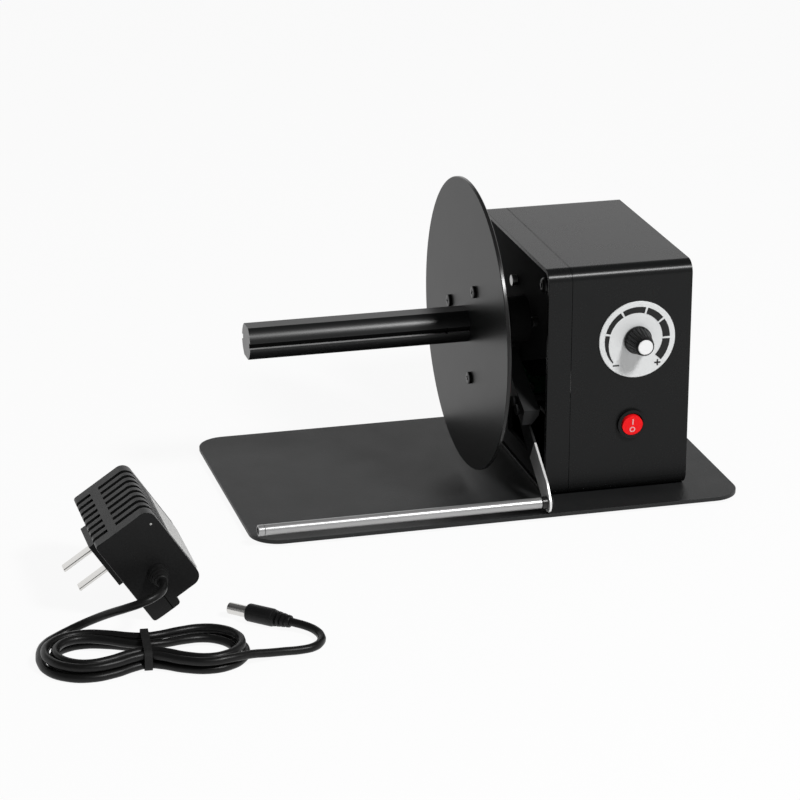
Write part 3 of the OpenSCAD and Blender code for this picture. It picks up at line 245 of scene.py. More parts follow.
# Fine grain for coats, mouldings and metals: a small bump with slow patches of tone.
# Stretch gives the grain its size along each axis, so that drawn metal gets long lines.
def build_surface_grain():
    group = bpy.data.node_groups.new("surface_grain", "ShaderNodeTree")
    stretch = group.interface.new_socket("Stretch", in_out="INPUT", socket_type="NodeSocketVector")
    stretch.default_value = (1, 1, 1)
    for name in ("Scale", "Tone", "Gloss"):
        group.interface.new_socket(name, in_out="INPUT", socket_type="NodeSocketFloat")
    for name in ("Height", "Shade", "Gloss shift"):
        group.interface.new_socket(name, in_out="OUTPUT", socket_type="NodeSocketFloat")
    given = group.nodes.new("NodeGroupInput")
    made = group.nodes.new("NodeGroupOutput")
    place = group.nodes.new("ShaderNodeTexCoord")
    stretched = group.nodes.new("ShaderNodeVectorMath")
    stretched.operation = "MULTIPLY"
    group.links.new(place.outputs["Object"], stretched.inputs[0])
    group.links.new(given.outputs["Stretch"], stretched.inputs[1])
    fine = group.nodes.new("ShaderNodeTexNoise")
    fine.inputs["Detail"].default_value = 2
    group.links.new(stretched.outputs[0], fine.inputs["Vector"])
    group.links.new(given.outputs["Scale"], fine.inputs["Scale"])
    coarse_scale = group.nodes.new("ShaderNodeMath")
    coarse_scale.operation = "MULTIPLY"
    coarse_scale.inputs[1].default_value = 0.035
    group.links.new(given.outputs["Scale"], coarse_scale.inputs[0])
    patches = group.nodes.new("ShaderNodeTexNoise")
    patches.inputs["Detail"].default_value = 3
    group.links.new(stretched.outputs[0], patches.inputs["Vector"])
    group.links.new(coarse_scale.outputs[0], patches.inputs["Scale"])
    both = group.nodes.new("ShaderNodeMath")
    group.links.new(fine.outputs["Fac"], both.inputs[0])
    group.links.new(patches.outputs["Fac"], both.inputs[1])
    centred = group.nodes.new("ShaderNodeMath")
    centred.operation = "SUBTRACT"
    centred.inputs[1].default_value = 1.0
    group.links.new(both.outputs[0], centred.inputs[0])
    shade = group.nodes.new("ShaderNodeMath")
    shade.operation = "MULTIPLY_ADD"
    shade.inputs[2].default_value = 1.0
    group.links.new(centred.outputs[0], shade.inputs[0])
    group.links.new(given.outputs["Tone"], shade.inputs[1])
    shift = group.nodes.new("ShaderNodeMath")
    shift.operation = "MULTIPLY"
    group.links.new(centred.outputs[0], shift.inputs[0])
    group.links.new(given.outputs["Gloss"], shift.inputs[1])
    group.links.new(fine.outputs["Fac"], made.inputs["Height"])
    group.links.new(shade.outputs[0], made.inputs["Shade"])
    group.links.new(shift.outputs[0], made.inputs["Gloss shift"])
    return group


surface_grain = build_surface_grain()


# A finish with its grain: grain in grains per metre, depth in millimetres.
def grained_finish(
    name, colour, roughness, grain, depth, tone, gloss, stretch=(1, 1, 1), metallic=0.0, specular=0.5,
):
    finish = bpy.data.materials.new(name)
    finish.use_nodes = True
    tree = finish.node_tree
    shader = tree.nodes["Principled BSDF"]
    shader.inputs["Base Color"].default_value = (*colour, 1)
    shader.inputs["Roughness"].default_value = roughness
    shader.inputs["Metallic"].default_value = metallic
    shader.inputs["Specular IOR Level"].default_value = specular
    texture = tree.nodes.new("ShaderNodeGroup")
    texture.node_tree = surface_grain
    texture.inputs["Stretch"].default_value = stretch
    texture.inputs["Scale"].default_value = grain
    texture.inputs["Tone"].default_value = tone
    texture.inputs["Gloss"].default_value = gloss
    toned = tree.nodes.new("ShaderNodeMix")
    toned.data_type = "RGBA"
    toned.blend_type = "MULTIPLY"
    toned.inputs[0].default_value = 1
    toned.inputs[6].default_value = (*colour, 1)
    tree.links.new(texture.outputs["Shade"], toned.inputs[7])
    tree.links.new(toned.outputs[2], shader.inputs["Base Color"])
    rough = tree.nodes.new("ShaderNodeMath")
    rough.inputs[1].default_value = roughness
    tree.links.new(texture.outputs["Gloss shift"], rough.inputs[0])
    tree.links.new(rough.outputs[0], shader.inputs["Roughness"])
    bump = tree.nodes.new("ShaderNodeBump")
    bump.inputs["Distance"].default_value = depth * MM
    tree.links.new(texture.outputs["Height"], bump.inputs["Height"])
    tree.links.new(bump.outputs["Normal"], shader.inputs["Normal"])
    return finish


cord_sheath = grained_finish(
    "cord_sheath", (0.007, 0.007, 0.007), roughness=0.38, specular=0.22,
    grain=700, depth=0.03, tone=0.3, gloss=0.15,
)
cord = place_piece(
    "cord", tube_curve("cord", cord_points, cord_thickness), "machine", "black_rubber",
    "cord_lead", "cord_hank", "cord_tail",
)
cord.data.materials.append(cord_sheath)

# Cord tie: a soft black strap closed in a loop round the hank's waist, so that the turns stay
# together. It isn't fixed to anything else.
tie_width = 3.6
tie_thick = 0.8
tie_reach = 14.4
tie_height = 10.4
tie_bend = 3.6


def rounded_loop(half, height, bend, steps=6):
    points = []
    for cx, cz, start in ((half - bend, bend, -90), (half - bend, height - bend, 0),
                          (bend - half, height - bend, 90), (bend - half, bend, 180)):
        for i in range(steps + 1):
            a = math.radians(start + 90 * i / steps)
            points.append((cx + bend * math.cos(a), cz + bend * math.sin(a)))
    return points


# Turns a bmesh into a smooth-shaded mesh whose flat faces stay flat.
def settle_mesh(name, shape, sharp=38):
    bmesh.ops.recalc_face_normals(shape, faces=shape.faces)
    mesh = bpy.data.meshes.new(name)
    shape.to_mesh(mesh)
    shape.free()
    mesh.shade_smooth()
    mesh.set_sharp_from_angle(angle=math.radians(sharp))
    return mesh


def even_normals(piece):
    weighted = piece.modifiers.new("even_normals", "WEIGHTED_NORMAL")
    weighted.keep_sharp = True
    return piece


tie_shape = bmesh.new()
tie_place = Matrix.Translation(Vector((*hank_mid, 0)) * MM) @ Matrix.Rotation(hank_turn, 4, "Z")
tie_rings = []
for grow, side in ((0, -1), (0, 1), (-tie_thick, 1), (-tie_thick, -1)):
    loop = rounded_loop(tie_reach + grow, tie_height + 2 * grow, max(tie_bend + grow, 1))
    shift = side * tie_width / 2
    tie_rings.append([
        tie_shape.verts.new(tie_place @ (Vector((shift, y, z - grow)) * MM)) for y, z in loop
    ])
for first, second in zip(tie_rings, tie_rings[1:] + tie_rings[:1]):
    for i in range(len(first)):
        j = (i + 1) % len(first)
        tie_shape.faces.new((first[i], first[j], second[j], second[i]))
tie_piece = place_piece(
    "cord_strap", settle_mesh("cord_strap", tie_shape), "machine", "black_plastic", "cord_tie",
)
tie_piece.data.materials.append(grained_finish(
    "strap_weave", (0.01, 0.01, 0.01), roughness=0.7, specular=0.3,
    grain=2200, depth=0.12, tone=0.6, gloss=0.1,
))

# Plug: a moulded grip with finger rings and a slim bend guard, on a plated barrel that is
# hollow for the socket's pin. A dark ring insulates the barrel's mouth.
plug_place = (
    Matrix.Translation(Vector((*plug_tip, plug_thickness / 2)) * MM)
    @ Matrix.Rotation(plug_turn, 4, "Z")
    @ Matrix.Rotation(math.pi / 2, 4, "Y")
)


# Turns a profile of radius and height pairs, in millimetres, about an axis. The pairs listed
# in hexed are drawn as a hexagon, for key sockets and nuts.
def turn_profile(shape, profile, place, steps=72, hexed=()):
    rings = []
    for index, (radius, height) in enumerate(profile):
        if radius == 0:
            rings.append([shape.verts.new(place @ Vector((0, 0, height * MM)))])
            continue
        ring = []
        for i in range(steps):
            a = 2 * math.pi * i / steps
            r = radius
            if index in hexed:
                r = radius / math.cos((a + math.pi / 6) % (math.pi / 3) - math.pi / 6)
            point = Vector((r * math.cos(a), r * math.sin(a), height))
            ring.append(shape.verts.new(place @ (point * MM)))
        rings.append(ring)
    for low, high in zip(rings, rings[1:]):
        for i in range(steps):
            j = (i + 1) % steps
            corners = [low[i % len(low)], low[j % len(low)], high[j % len(high)], high[i % len(high)]]
            corners = list(dict.fromkeys(corners))
            if len(corners) > 2:
                shape.faces.new(corners)
    if len(rings[0]) > 1 and profile[0] == profile[-1]:
        bmesh.ops.remove_doubles(shape, verts=shape.verts, dist=1e-7)


# A turned piece: one profile at one or more places, with even shading.
def turned_piece(name, profile, places, steps, body, slot, finish, *nodes, hexed=()):
    shape = bmesh.new()
    for place in places:
        turn_profile(shape, profile, place, steps, hexed)
    piece = even_normals(place_piece(name, settle_mesh(name, shape), body, slot, *nodes))
    piece.data.materials.append(finish)
    return piece


grip_profile = [(0, 10), (3.4, 10), (4, 10.3), (4.25, 10.9), (4.25, 23.4), (4.1, 23.9), (3.95, 24)]
for ring in range(3):
    start = 25.6 + 2.4 * ring
    outer = 3.95 - 1.15 * (start - 24) / 9
    grip_profile += [(outer, start - 0.15), (2.55, start), (2.55, start + 1), (outer - 0.12, start + 1.15)]
grip_profile += [(2.85, 32.7), (2.6, 33), (0, 33)]
moulded_black = grained_finish(
    "moulded_black", (0.008, 0.008, 0.0082), roughness=0.42, specular=0.25,
    grain=1800, depth=0.05, tone=0.3, gloss=0.12,
)
plug_grip = turned_piece(
    "plug_grip_moulding", grip_profile, [plug_place], 48, "machine", "black_plastic", moulded_black,
    "plug_grip",
)
barrel_profile = [
    (0, 9), (1.25, 9), (1.25, 0.6), (2.1, 0.6), (2.1, 0.1),
    (2.3, 0), (2.6, 0), (2.75, 0.2), (2.75, 14), (0, 14),
]
bright_nickel = grained_finish(
    "bright_nickel", (0.72, 0.71, 0.69), roughness=0.2, metallic=1,
    grain=900, depth=0.01, tone=0.1, gloss=0.08,
)
plug_barrel = turned_piece(
    "plug_barrel_tube", barrel_profile, [plug_place], 48, "machine", "steel", bright_nickel, "plug_barrel",
)
mouth_shape = bmesh.new()
turn_profile(mouth_shape, [(1.3, 0.58), (1.3, 0.2), (2.05, 0.2), (2.05, 0.58), (1.3, 0.58)], plug_place, 48)
plug_mouth = place_piece(
    "plug_mouth_ring", settle_mesh("plug_mouth_ring", mouth_shape), "machine", "black_plastic",
)
plug_mouth.data.materials.append(moulded_black)

# Power adapter: a moulded black box in two halves that leans on its own plug. Cooling ribs
# cross its top and run down its far side. Its edges are softly rounded.
adapter_foot = (-191.3, -142.6)
adapter_tilt = math.radians(33.786)
adapter_corner = 1.6
adapter_seam = 11
adapter_round = 2.4
adapter_drop = adapter_corner * (math.sin(adapter_tilt) + math.cos(adapter_tilt) - 1)
adapter_place = (
    Matrix.Translation(Vector((*adapter_foot, -adapter_drop)) * MM) @ Matrix.Rotation(-adapter_tilt, 4, "Y")
)


# A copy of a solid whose sharp edges are eased, as milling, moulding or coating leaves them.
# Edges whose ends both pass the lip test, in millimetres, are first cut or rounded wider.
def eased_copy(node, width, sharp=32, segments=2, lip=None, lip_width=1.0, lip_steps=1):
    shape = bmesh.new()
    shape.from_mesh(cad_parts[node].data)
    bmesh.ops.remove_doubles(shape, verts=shape.verts, dist=2e-6)
    bmesh.ops.dissolve_limit(shape, angle_limit=math.radians(0.6), verts=shape.verts, edges=shape.edges)
    if lip:
        lips = [e for e in shape.edges if all(lip(v.co / MM) for v in e.verts)]
        bmesh.ops.bevel(
            shape, geom=lips, offset=lip_width * MM, offset_type="OFFSET", segments=lip_steps,
            profile=0.5, affect="EDGES", clamp_overlap=True,
        )
    keen = [e for e in shape.edges if len(e.link_faces) == 2 and e.calc_face_angle(0) > math.radians(sharp)]
    bmesh.ops.bevel(
        shape, geom=keen, offset=width * MM, offset_type="OFFSET", segments=segments,
        profile=0.5, affect="EDGES", clamp_overlap=True,
    )
    return settle_mesh(node + "_eased", shape)


def eased_piece(name, node, width, body, slot, finish, sharp=32, segments=2, **lip):
    piece = even_normals(place_piece(name, eased_copy(node, width, sharp, segments, **lip), body, slot, node))
    piece.data.materials.clear()
    piece.data.materials.append(finish)
    return piece


# The adapter's front end, apart from the seam between its halves.
def adapter_front(point):
    inner = adapter_place.inverted() @ (point * MM) / MM
    return abs(inner.y) < 0.05 and abs(inner.x - adapter_seam) > 0.1


case_black = grained_finish(
    "case_black", (0.008, 0.0081, 0.0082), roughness=0.36, specular=0.18,
    grain=1500, depth=0.06, tone=0.25, gloss=0.12,
)
for half in ("base", "cover"):
    eased_piece(
        "adapter_case_" + half, "adapter_" + half, 0.5, "machine", "black_plastic", case_black,
        lip=adapter_front, lip_width=adapter_round, lip_steps=5,
    )
eased_piece("adapter_blades", "adapter_prongs", 0.35, "machine", "steel", bright_nickel)

# Strain relief: a ribbed rubber nose that keeps the cord from kinking at the adapter. Its foot
# is held in the adapter's front wall.
relief_spot = Vector((15.2, 0, 19))
relief_place = (
    adapter_place @ Matrix.Translation(relief_spot * MM) @ Matrix.Rotation(math.pi / 2, 4, "X")
)
relief_profile = [(0, -2), (3.5, -2), (3.5, 0), (4.7, 0), (5, 0.3)]
for ring in range(3):
    start = 2.5 + 2.5 * ring
    outer = 5 - 0.22 * start
    relief_profile += [(outer, start - 0.15), (2.6, start), (2.6, start + 1.1), (outer - 0.24, start + 1.25)]
relief_profile += [(2.95, 9.7), (2.6, 10), (0, 10)]
soft_rubber = grained_finish(
    "soft_rubber", (0.008, 0.008, 0.008), roughness=0.55, specular=0.25,
    grain=1200, depth=0.05, tone=0.3, gloss=0.1,
)
turned_piece(
    "strain_relief_nose", relief_profile, [relief_place], 48, "machine", "black_rubber", soft_rubber,
    "strain_relief",
)

# Rating plate and lamp on the adapter: a bare pale sticker on its right side and a small
# clear lamp at the top of its front end.
sticker_face_x = 30.5
sticker_thick = 0.12
sticker_round = 2
sticker_shape = bmesh.new()
sticker_corners = []
for cy, cz, start in ((55, 28, 0), (8, 28, 90), (8, 8, 180), (55, 8, 270)):
    for i in range(5):
        a = math.radians(start + 22.5 * i)
        sticker_corners.append((cy + sticker_round * math.cos(a), cz + sticker_round * math.sin(a)))
sticker_rings = [
    [sticker_shape.verts.new(adapter_place @ (Vector((x, y, z)) * MM)) for y, z in sticker_corners]
    for x in (sticker_face_x, sticker_face_x + sticker_thick)
]
under, over = sticker_rings
sticker_shape.faces.new(over)
for i in range(len(sticker_corners)):
    j = (i + 1) % len(sticker_corners)
    sticker_shape.faces.new((under[i], under[j], over[j], over[i]))
sticker = place_piece(
    "adapter_sticker", settle_mesh("adapter_sticker", sticker_shape), "machine", "white_print",
)
sticker.data.materials.append(grained_finish(
    "sticker_paper", (0.62, 0.62, 0.61), roughness=0.45,
    grain=500, depth=0.01, tone=0.15, gloss=0.05,
))
lamp_spot = Vector((26.8, 0, 41.2))
lamp_place = (
    adapter_place @ Matrix.Translation(lamp_spot * MM) @ Matrix.Rotation(math.pi / 2, 4, "X")
)
lamp_shape = bmesh.new()
turn_profile(lamp_shape, [(0.6, -0.5), (0.6, 0.1), (0.5, 0.25), (0.25, 0.33), (0, 0.35)], lamp_place, 24)
adapter_lamp = place_piece("adapter_lamp", settle_mesh("adapter_lamp", lamp_shape), "machine", "white_print")
adapter_lamp.data.materials.append(grained_finish(
    "lamp_lens", (0.42, 0.42, 0.41), roughness=0.15,
    grain=300, depth=0.005, tone=0.1, gloss=0.02,
))

# Base plate: a flat plate cut from sheet steel with round corners and coated in fine black
# powder. Its edges are eased, and it stands on four soft pads that are glued under it.
plate_coat = grained_finish(
    "plate_coat", (0.017, 0.0175, 0.0178), roughness=0.44, specular=0.25,
    grain=1500, depth=0.07, tone=0.35, gloss=0.1,
)
eased_piece("base_plate_sheet", "base_plate", 0.4, "machine", "powder_coat", plate_coat)
foot_profile = [(0, 1.5), (8, 1.5), (8, 0.5), (7.6, 0.1), (7, 0), (3, 0), (2.4, 0.3), (0, 0.3)]
foot_places = [Matrix.Translation(Vector((x, y, 0)) * MM) for x in (-107.5, 107.5) for y in (-50, 60)]
turned_piece(
    "foot_pads", foot_profile, foot_places, 48, "machine", "black_rubber", soft_rubber, "rubber_feet",
)


def dress_nodes(finish, *nodes):
    for node in nodes:
        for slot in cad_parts[node].material_slots:
            slot.material = finish


zinc_steel = grained_finish(
    "zinc_steel", (0.58, 0.58, 0.57), roughness=0.3, metallic=1,
    grain=1400, depth=0.02, tone=0.15, gloss=0.1,
)
dress_nodes(zinc_steel, "base_screws")

# Housing: a narrow ring and a closed cover of bent sheet, coated like the plate. A hairline
# seam shows where they meet, and four black cap screws clamp the side panel against the ring.
powder_coat = grained_finish(
    "powder_coat", (0.0085, 0.0088, 0.0089), roughness=0.27, specular=0.16,
    grain=1500, depth=0.008, tone=0.15, gloss=0.03,
)
seam_x = 40.2
seam_gap = 0.5
for node, side in (("housing_ring", -1), ("housing_cover", 1)):
    sheet = eased_piece(node + "_sheet", node, 0.3, "machine", "powder_coat", powder_coat)
    for corner in sheet.data.vertices:
        if abs(corner.co.x - seam_x * MM) < 0.05 * MM:
            corner.co.x += side * seam_gap / 2 * MM
panel_coat = grained_finish(
    "panel_coat", (0.026, 0.0265, 0.027), roughness=0.8, specular=0.06,
    grain=1500, depth=0.03, tone=0.3, gloss=0.08,
)
eased_piece("side_panel_sheet", "side_panel", 0.25, "machine", "powder_coat", panel_coat)
bolt_seat_x = 29.3
bolt_profile = [
    (0, -20.9), (2, -20.9), (2, 0), (3.9, 0), (4, 0.2), (4, 0.9),
    (3.75, 1.5), (3.1, 2.1), (2.3, 2.4), (1.5, 2.4), (1.5, 1.1), (0, 1.1),
]
bolt_places = [
    Matrix.Translation(Vector((bolt_seat_x, y, z)) * MM) @ Matrix.Rotation(-math.pi / 2, 4, "Y")
    for y in (-39.5, 61.5) for z in (13, 114)
]
black_oxide = grained_finish(
    "black_oxide", (0.01, 0.01, 0.01), roughness=0.3, specular=0.4,
    grain=1600, depth=0.02, tone=0.3, gloss=0.1,
)
turned_piece(
    "housing_cap_screws", bolt_profile, bolt_places, 48, "machine", "black_steel", black_oxide,
    "housing_bolts", hexed=(9, 10),
)

# Drive inside the housing: a motor with a pinion, a gear on the drive shaft, and a black case
# whose round boss passes through the side panel and holds the front bearing.
inner_black = grained_finish(
    "inner_black", (0.014, 0.014, 0.014), roughness=0.55, specular=0.02,
    grain=1100, depth=0.06, tone=0.3, gloss=0.1,
)
# A darker copy of inner_black with no sheen, for the case's faces behind the side panel: painted shade inside
# the housing.
painted_shade_case = grained_finish(
    "painted_shade_case", (0.005, 0.005, 0.005), roughness=0.6, specular=0,
    grain=1100, depth=0.06, tone=0.3, gloss=0.1,
)
panel_mid_x = 30.5
gear_casting = eased_piece("gear_case_casting", "gear_case", 0.4, "machine", "powder_coat", inner_black)
gear_casting.data.materials.append(painted_shade_case)
# Faces behind the middle of the side panel take the painted shade.
for face in gear_casting.data.polygons:
    face.material_index = 1 if face.center.x > panel_mid_x * MM else 0
cast_grey = grained_finish(
    "cast_grey", (0.3, 0.31, 0.32), roughness=0.45, metallic=0.8,
    grain=900, depth=0.08, tone=0.3, gloss=0.1,
)
turned_brass = grained_finish(
    "turned_brass", (0.65, 0.47, 0.2), roughness=0.3, metallic=1,
    grain=1400, depth=0.02, tone=0.2, gloss=0.1,
)
coil_copper = grained_finish(
    "coil_copper", (0.55, 0.26, 0.12), roughness=0.35, metallic=0.9,
    grain=1800, depth=0.06, tone=0.3, gloss=0.1, stretch=(0.1, 1, 1),
)
# One screw of the plated set, which sits in shade behind the disc, is coloured black: painted shade.
painted_shade_screw_spot = Vector((28, -26.4, 90.3)) * MM
painted_shade_screw_reach = 8 * MM
unit_screws = eased_piece("gear_unit_cap_screws", "gear_unit_screws", 0.25, "machine", "steel", zinc_steel)
unit_screws.data.materials.append(black_oxide)
for face in unit_screws.data.polygons:
    face.material_index = 1 if (face.center - painted_shade_screw_spot).length < painted_shade_screw_reach else 0
dress_nodes(cast_grey, "gear_case_lid")
dress_nodes(zinc_steel, "shaft_bearings", "drive_shaft", "motor_can")
dress_nodes(turned_brass, "drive_gear", "motor_pinion")
dress_nodes(coil_copper, "motor_armature")
dress_nodes(moulded_black, "motor_end_bell")

# Flange disc: a flat black disc on the hub's flange, held by three cross-head screws. Its rim
# has a small bevel on each side and is turned a little glossier.
disc_back_x = -0.6
disc_axis = (-5, 85.4)
disc_front_x = disc_back_x - 2
disc_rim = 74.7
disc_profile = [(0, 0), (40, 0), (74.65, 0), (75, 0.35), (75, 1.65), (74.65, 2), (40, 2), (0, 2)]
disc_place = (
    Matrix.Translation(Vector((disc_front_x, *disc_axis)) * MM) @ Matrix.Rotation(math.pi / 2, 4, "Y")
)
disc_coat = grained_finish(
    "disc_coat", (0.0085, 0.0088, 0.0089), roughness=0.33, specular=0.13,
    grain=1500, depth=0.004, tone=0.3, gloss=0.03,
)
disc = turned_piece(
    "flange_disc_plate", disc_profile, [disc_place], 256, "spindle", "black_anodised", disc_coat,
    "flange_disc",
)
rim_gloss = grained_finish(
    "rim_gloss", (0.012, 0.012, 0.012), roughness=0.22, specular=0.3,
    grain=1500, depth=0.004, tone=0.2, gloss=0.03,
)
disc.data.materials.append(rim_gloss)
for face in disc.data.polygons:
    reach = math.hypot(face.center.y - disc_axis[0] * MM, face.center.z - disc_axis[1] * MM)
    face.material_index = 1 if reach > disc_rim * MM else 0
screw_circle = 27.8
screw_profile = [
    (0, -5.7), (1.5, -5.7), (1.5, 0), (3, 0), (3.1, 0.1), (3.1, 1.25), (2.95, 1.5), (2.7, 1.6), (0, 1.6),
]
screw_shape = bmesh.new()
cross_shape = bmesh.new()
for angle in (7.7, 127.7, 247.7):
    a = math.radians(angle)
    screw_y = disc_axis[0] + screw_circle * math.cos(a)
    screw_z = disc_axis[1] + screw_circle * math.sin(a)
    screw_place = (
        Matrix.Translation(Vector((disc_front_x, screw_y, screw_z)) * MM)
        @ Matrix.Rotation(-math.pi / 2, 4, "Y")
    )
    turn_profile(screw_shape, screw_profile, screw_place, 48)
    cross_place = screw_place @ Matrix.Translation((0, 0, 0.7 * MM)) @ Matrix.Rotation(a, 4, "Z")
    cross_rings = []
    for height in (0, 1.6):
        ring = []
        for quarter in range(4):
            for x, y in ((0.36, -1.5), (0.36, -0.36), (1.5, -0.36)):
                point = Matrix.Rotation(quarter * math.pi / 2, 4, "Z") @ Vector((x, y, height))
                ring.append(cross_shape.verts.new(cross_place @ (point * MM)))
        cross_rings.append(ring)
    for i in range(12):
        j = (i + 1) % 12
        cross_shape.faces.new((cross_rings[0][i], cross_rings[0][j], cross_rings[1][j], cross_rings[1][i]))
    cross_shape.faces.new(cross_rings[0][::-1])
    cross_shape.faces.new(cross_rings[1])
bmesh.ops.recalc_face_normals(cross_shape, faces=cross_shape.faces)
cross_mesh = bpy.data.meshes.new("screw_cross")
cross_shape.to_mesh(cross_mesh)
cross_shape.free()
cross_cutter = bpy.data.objects.new("screw_cross", cross_mesh)
scene.collection.objects.link(cross_cutter)
disc_screws = place_piece(
    "disc_pan_screws", settle_mesh("disc_pan_screws", screw_shape), "spindle", "black_steel", "disc_screws",
)
crossed = disc_screws.modifiers.new("cross_recess", "BOOLEAN")
crossed.operation = "DIFFERENCE"
crossed.solver = "EXACT"
crossed.object = cross_cutter
bpy.context.view_layer.update()
crossed_screws = disc_screws.evaluated_get(bpy.context.evaluated_depsgraph_get())
cut_mesh = bpy.data.meshes.new_from_object(crossed_screws)
disc_screws.modifiers.clear()
disc_screws.data = cut_mesh
bpy.data.objects.remove(cross_cutter)
disc_screws.data.materials.clear()
deep_black = grained_finish(
    "deep_black", (0.003, 0.003, 0.003), roughness=0.5, specular=0.05,
    grain=1600, depth=0.02, tone=0.3, gloss=0.1,
)
painted_highlight_black = grained_finish(
    "painted_highlight_black", (0.09, 0.09, 0.09), roughness=0.42, specular=0.35,
    grain=2400, depth=0.05, tone=0.5, gloss=0.15,
)
disc_screws.data.materials.append(deep_black)
disc_screws.data.materials.append(painted_highlight_black)
# The heads' outward faces are a lighter grey than their black sides: painted highlight.
screw_top_x = -3.9
for face in disc_screws.data.polygons:
    face.material_index = 1 if face.normal.x < -0.5 and face.center.x < screw_top_x * MM else 0

# Hub and spindle: a flanged hub on the drive shaft, and a black anodised bar with two flats
# and a groove along each side. The bar's sawn end is left lighter. The grooves are coloured
# deeper black as painted shade, and the bevelled lip of each groove light grey as a painted highlight.
anodised_black = grained_finish(
    "anodised_black", (0.009, 0.0092, 0.0094), roughness=0.33, specular=0.38,
    grain=900, depth=0.003, tone=0.25, gloss=0.04, stretch=(0.08, 1, 1),
)
groove_half = 1.4
bar_radius = 9.3
bar_end_x = -116


# The two groove edges that face the light when the bar stands at rest or half a turn on.
def groove_lip(point):
    side = 1 if point.y > disc_axis[0] else -1
    return abs(point.y - disc_axis[0]) > 8 and abs(point.z - disc_axis[1] - side * groove_half) < 0.1


eased_piece("spindle_hub_turning", "spindle_hub", 0.35, "spindle", "black_anodised", anodised_black)
spindle_bar = eased_piece(
    "spindle_bar", "spindle", 0.15, "spindle", "black_anodised", anodised_black, sharp=30,
    lip=groove_lip, lip_width=0.6,
)
sawn_end = grained_finish(
    "sawn_end", (0.145, 0.145, 0.145), roughness=0.4, metallic=0.6,
    grain=2600, depth=0.04, tone=0.3, gloss=0.1,
)
painted_highlight_lip = grained_finish(
    "painted_highlight_lip", (0.38, 0.38, 0.38), roughness=0.4, specular=0.3,
    grain=2000, depth=0.02, tone=0.3, gloss=0.1,
)
for finish in (sawn_end, deep_black, painted_highlight_lip):
    spindle_bar.data.materials.append(finish)
# Sawn end lighter; groove faces deep black as painted shade; groove lips light grey as a painted highlight.
for face in spindle_bar.data.polygons:
    out = face.center.y / MM - disc_axis[0]
    side = 1 if out > 0 else -1
    rise = side * (face.center.z / MM - disc_axis[1])
    tilt = side * face.normal.z
    grooved = 7 < abs(out) < bar_radius - 0.1 and abs(rise) < groove_half + 0.05
    if face.normal.x < -0.9 and face.center.x < bar_end_x * MM:
        face.material_index = 1
    elif abs(out) > 8 and tilt < -0.4 and groove_half < rise < groove_half + 0.7:
        face.material_index = 3
    elif grooved or (abs(out) > 8 and tilt > 0.2 and abs(rise + groove_half) < 0.3):
        face.material_index = 2
dress_nodes(deep_black, "set_screws")

# Tension arm: a black block on a pivot pin, with a slim steel plate let into its end. The
# plate's lower end is bare with dull faces, and its edges there are coloured near white as a painted
# highlight. A peg at the back works the sensor.
roller_axis = (-68, 9)
strip_run = Vector((0, 0.8415, 0.5403))
strip_bare_length = 32
strip_bare = Vector((0, *roller_axis)) * MM + strip_bare_length * MM * strip_run
eased_piece("arm_pivot_screw", "arm_pivot_pin", 0.4, "machine", "steel", panel_coat)
dress_nodes(panel_coat, "arm_bush")
arm_coat = grained_finish(
    "arm_coat", (0.034, 0.0345, 0.035), roughness=0.6, specular=0.1,
    grain=1500, depth=0.03, tone=0.3, gloss=0.08,
)
eased_piece("arm_block", "arm_bar", 0.4, "tension_arm", "black_anodised", arm_coat)
arm_plate = eased_piece("arm_strip", "arm_plate", 0.25, "tension_arm", "black_anodised", panel_coat)
strip_shape = bmesh.new()
strip_shape.from_mesh(arm_plate.data)
bmesh.ops.bisect_plane(
    strip_shape, geom=strip_shape.verts[:] + strip_shape.edges[:] + strip_shape.faces[:],
    plane_co=strip_bare, plane_no=strip_run,
)
strip_shape.to_mesh(arm_plate.data)
strip_shape.free()
brushed_dark = grained_finish(
    "brushed_dark", (0.44, 0.44, 0.44), roughness=0.45, metallic=0.35,
    grain=1200, depth=0.03, tone=0.3, gloss=0.1,
)
painted_highlight_edge = grained_finish(
    "painted_highlight_edge", (0.9, 0.9, 0.89), roughness=0.4, metallic=0.3,
    grain=900, depth=0.005, tone=0.08, gloss=0.05,
)
arm_plate.data.materials.append(brushed_dark)
arm_plate.data.materials.append(painted_highlight_edge)
# On the bare end, edge faces get the near-white painted highlight and the broad faces the dull grey.
for face in arm_plate.data.polygons:
    bare = (face.center - strip_bare).dot(strip_run) < 0
    face.material_index = (1 if abs(face.normal.x) > 0.6 else 2) if bare else 0
eased_piece("arm_cap_screws", "arm_screws", 0.3, "tension_arm", "black_steel", panel_coat)
dress_nodes(black_oxide, "arm_peg")
dress_nodes(zinc_steel, "roller_axle")

# Guide bar: a bright drawn tube that turns freely on its axle, between a black collar at the
# arm and a flat end cap. Faint draw lines run along it.
def along_roller(x):
    return Matrix.Translation(Vector((x, *roller_axis)) * MM) @ Matrix.Rotation(math.pi / 2, 4, "Y")


drawn_steel = grained_finish(
    "drawn_steel", (0.42, 0.42, 0.42), roughness=0.34, metallic=0.55,
    grain=900, depth=0.02, tone=0.18, gloss=0.14, stretch=(0.03, 1, 1),
)
tube_profile = [(1.8, 0.2), (2.6, 0), (2.8, 0.2), (2.8, 141.8), (2.6, 142), (1.8, 141.8), (1.8, 0.2)]
turned_piece(
    "guide_tube", tube_profile, [along_roller(-122.35)], 64, "guide_roller", "polished_tube", drawn_steel,
    "roller_sleeve",
)
end_profile = [
    (0, 1.6), (1.8, 1.6), (1.8, 0.2), (2, 0), (2.6, 0), (2.8, 0.2), (2.8, 3), (1.8, 3), (1.8, 2), (0, 2),
]
end_hole = 1.95
guide_end = turned_piece(
    "guide_end_cap", end_profile, [along_roller(-125.55)], 64, "tension_arm", "polished_tube", drawn_steel,
    "roller_end_cap",
)
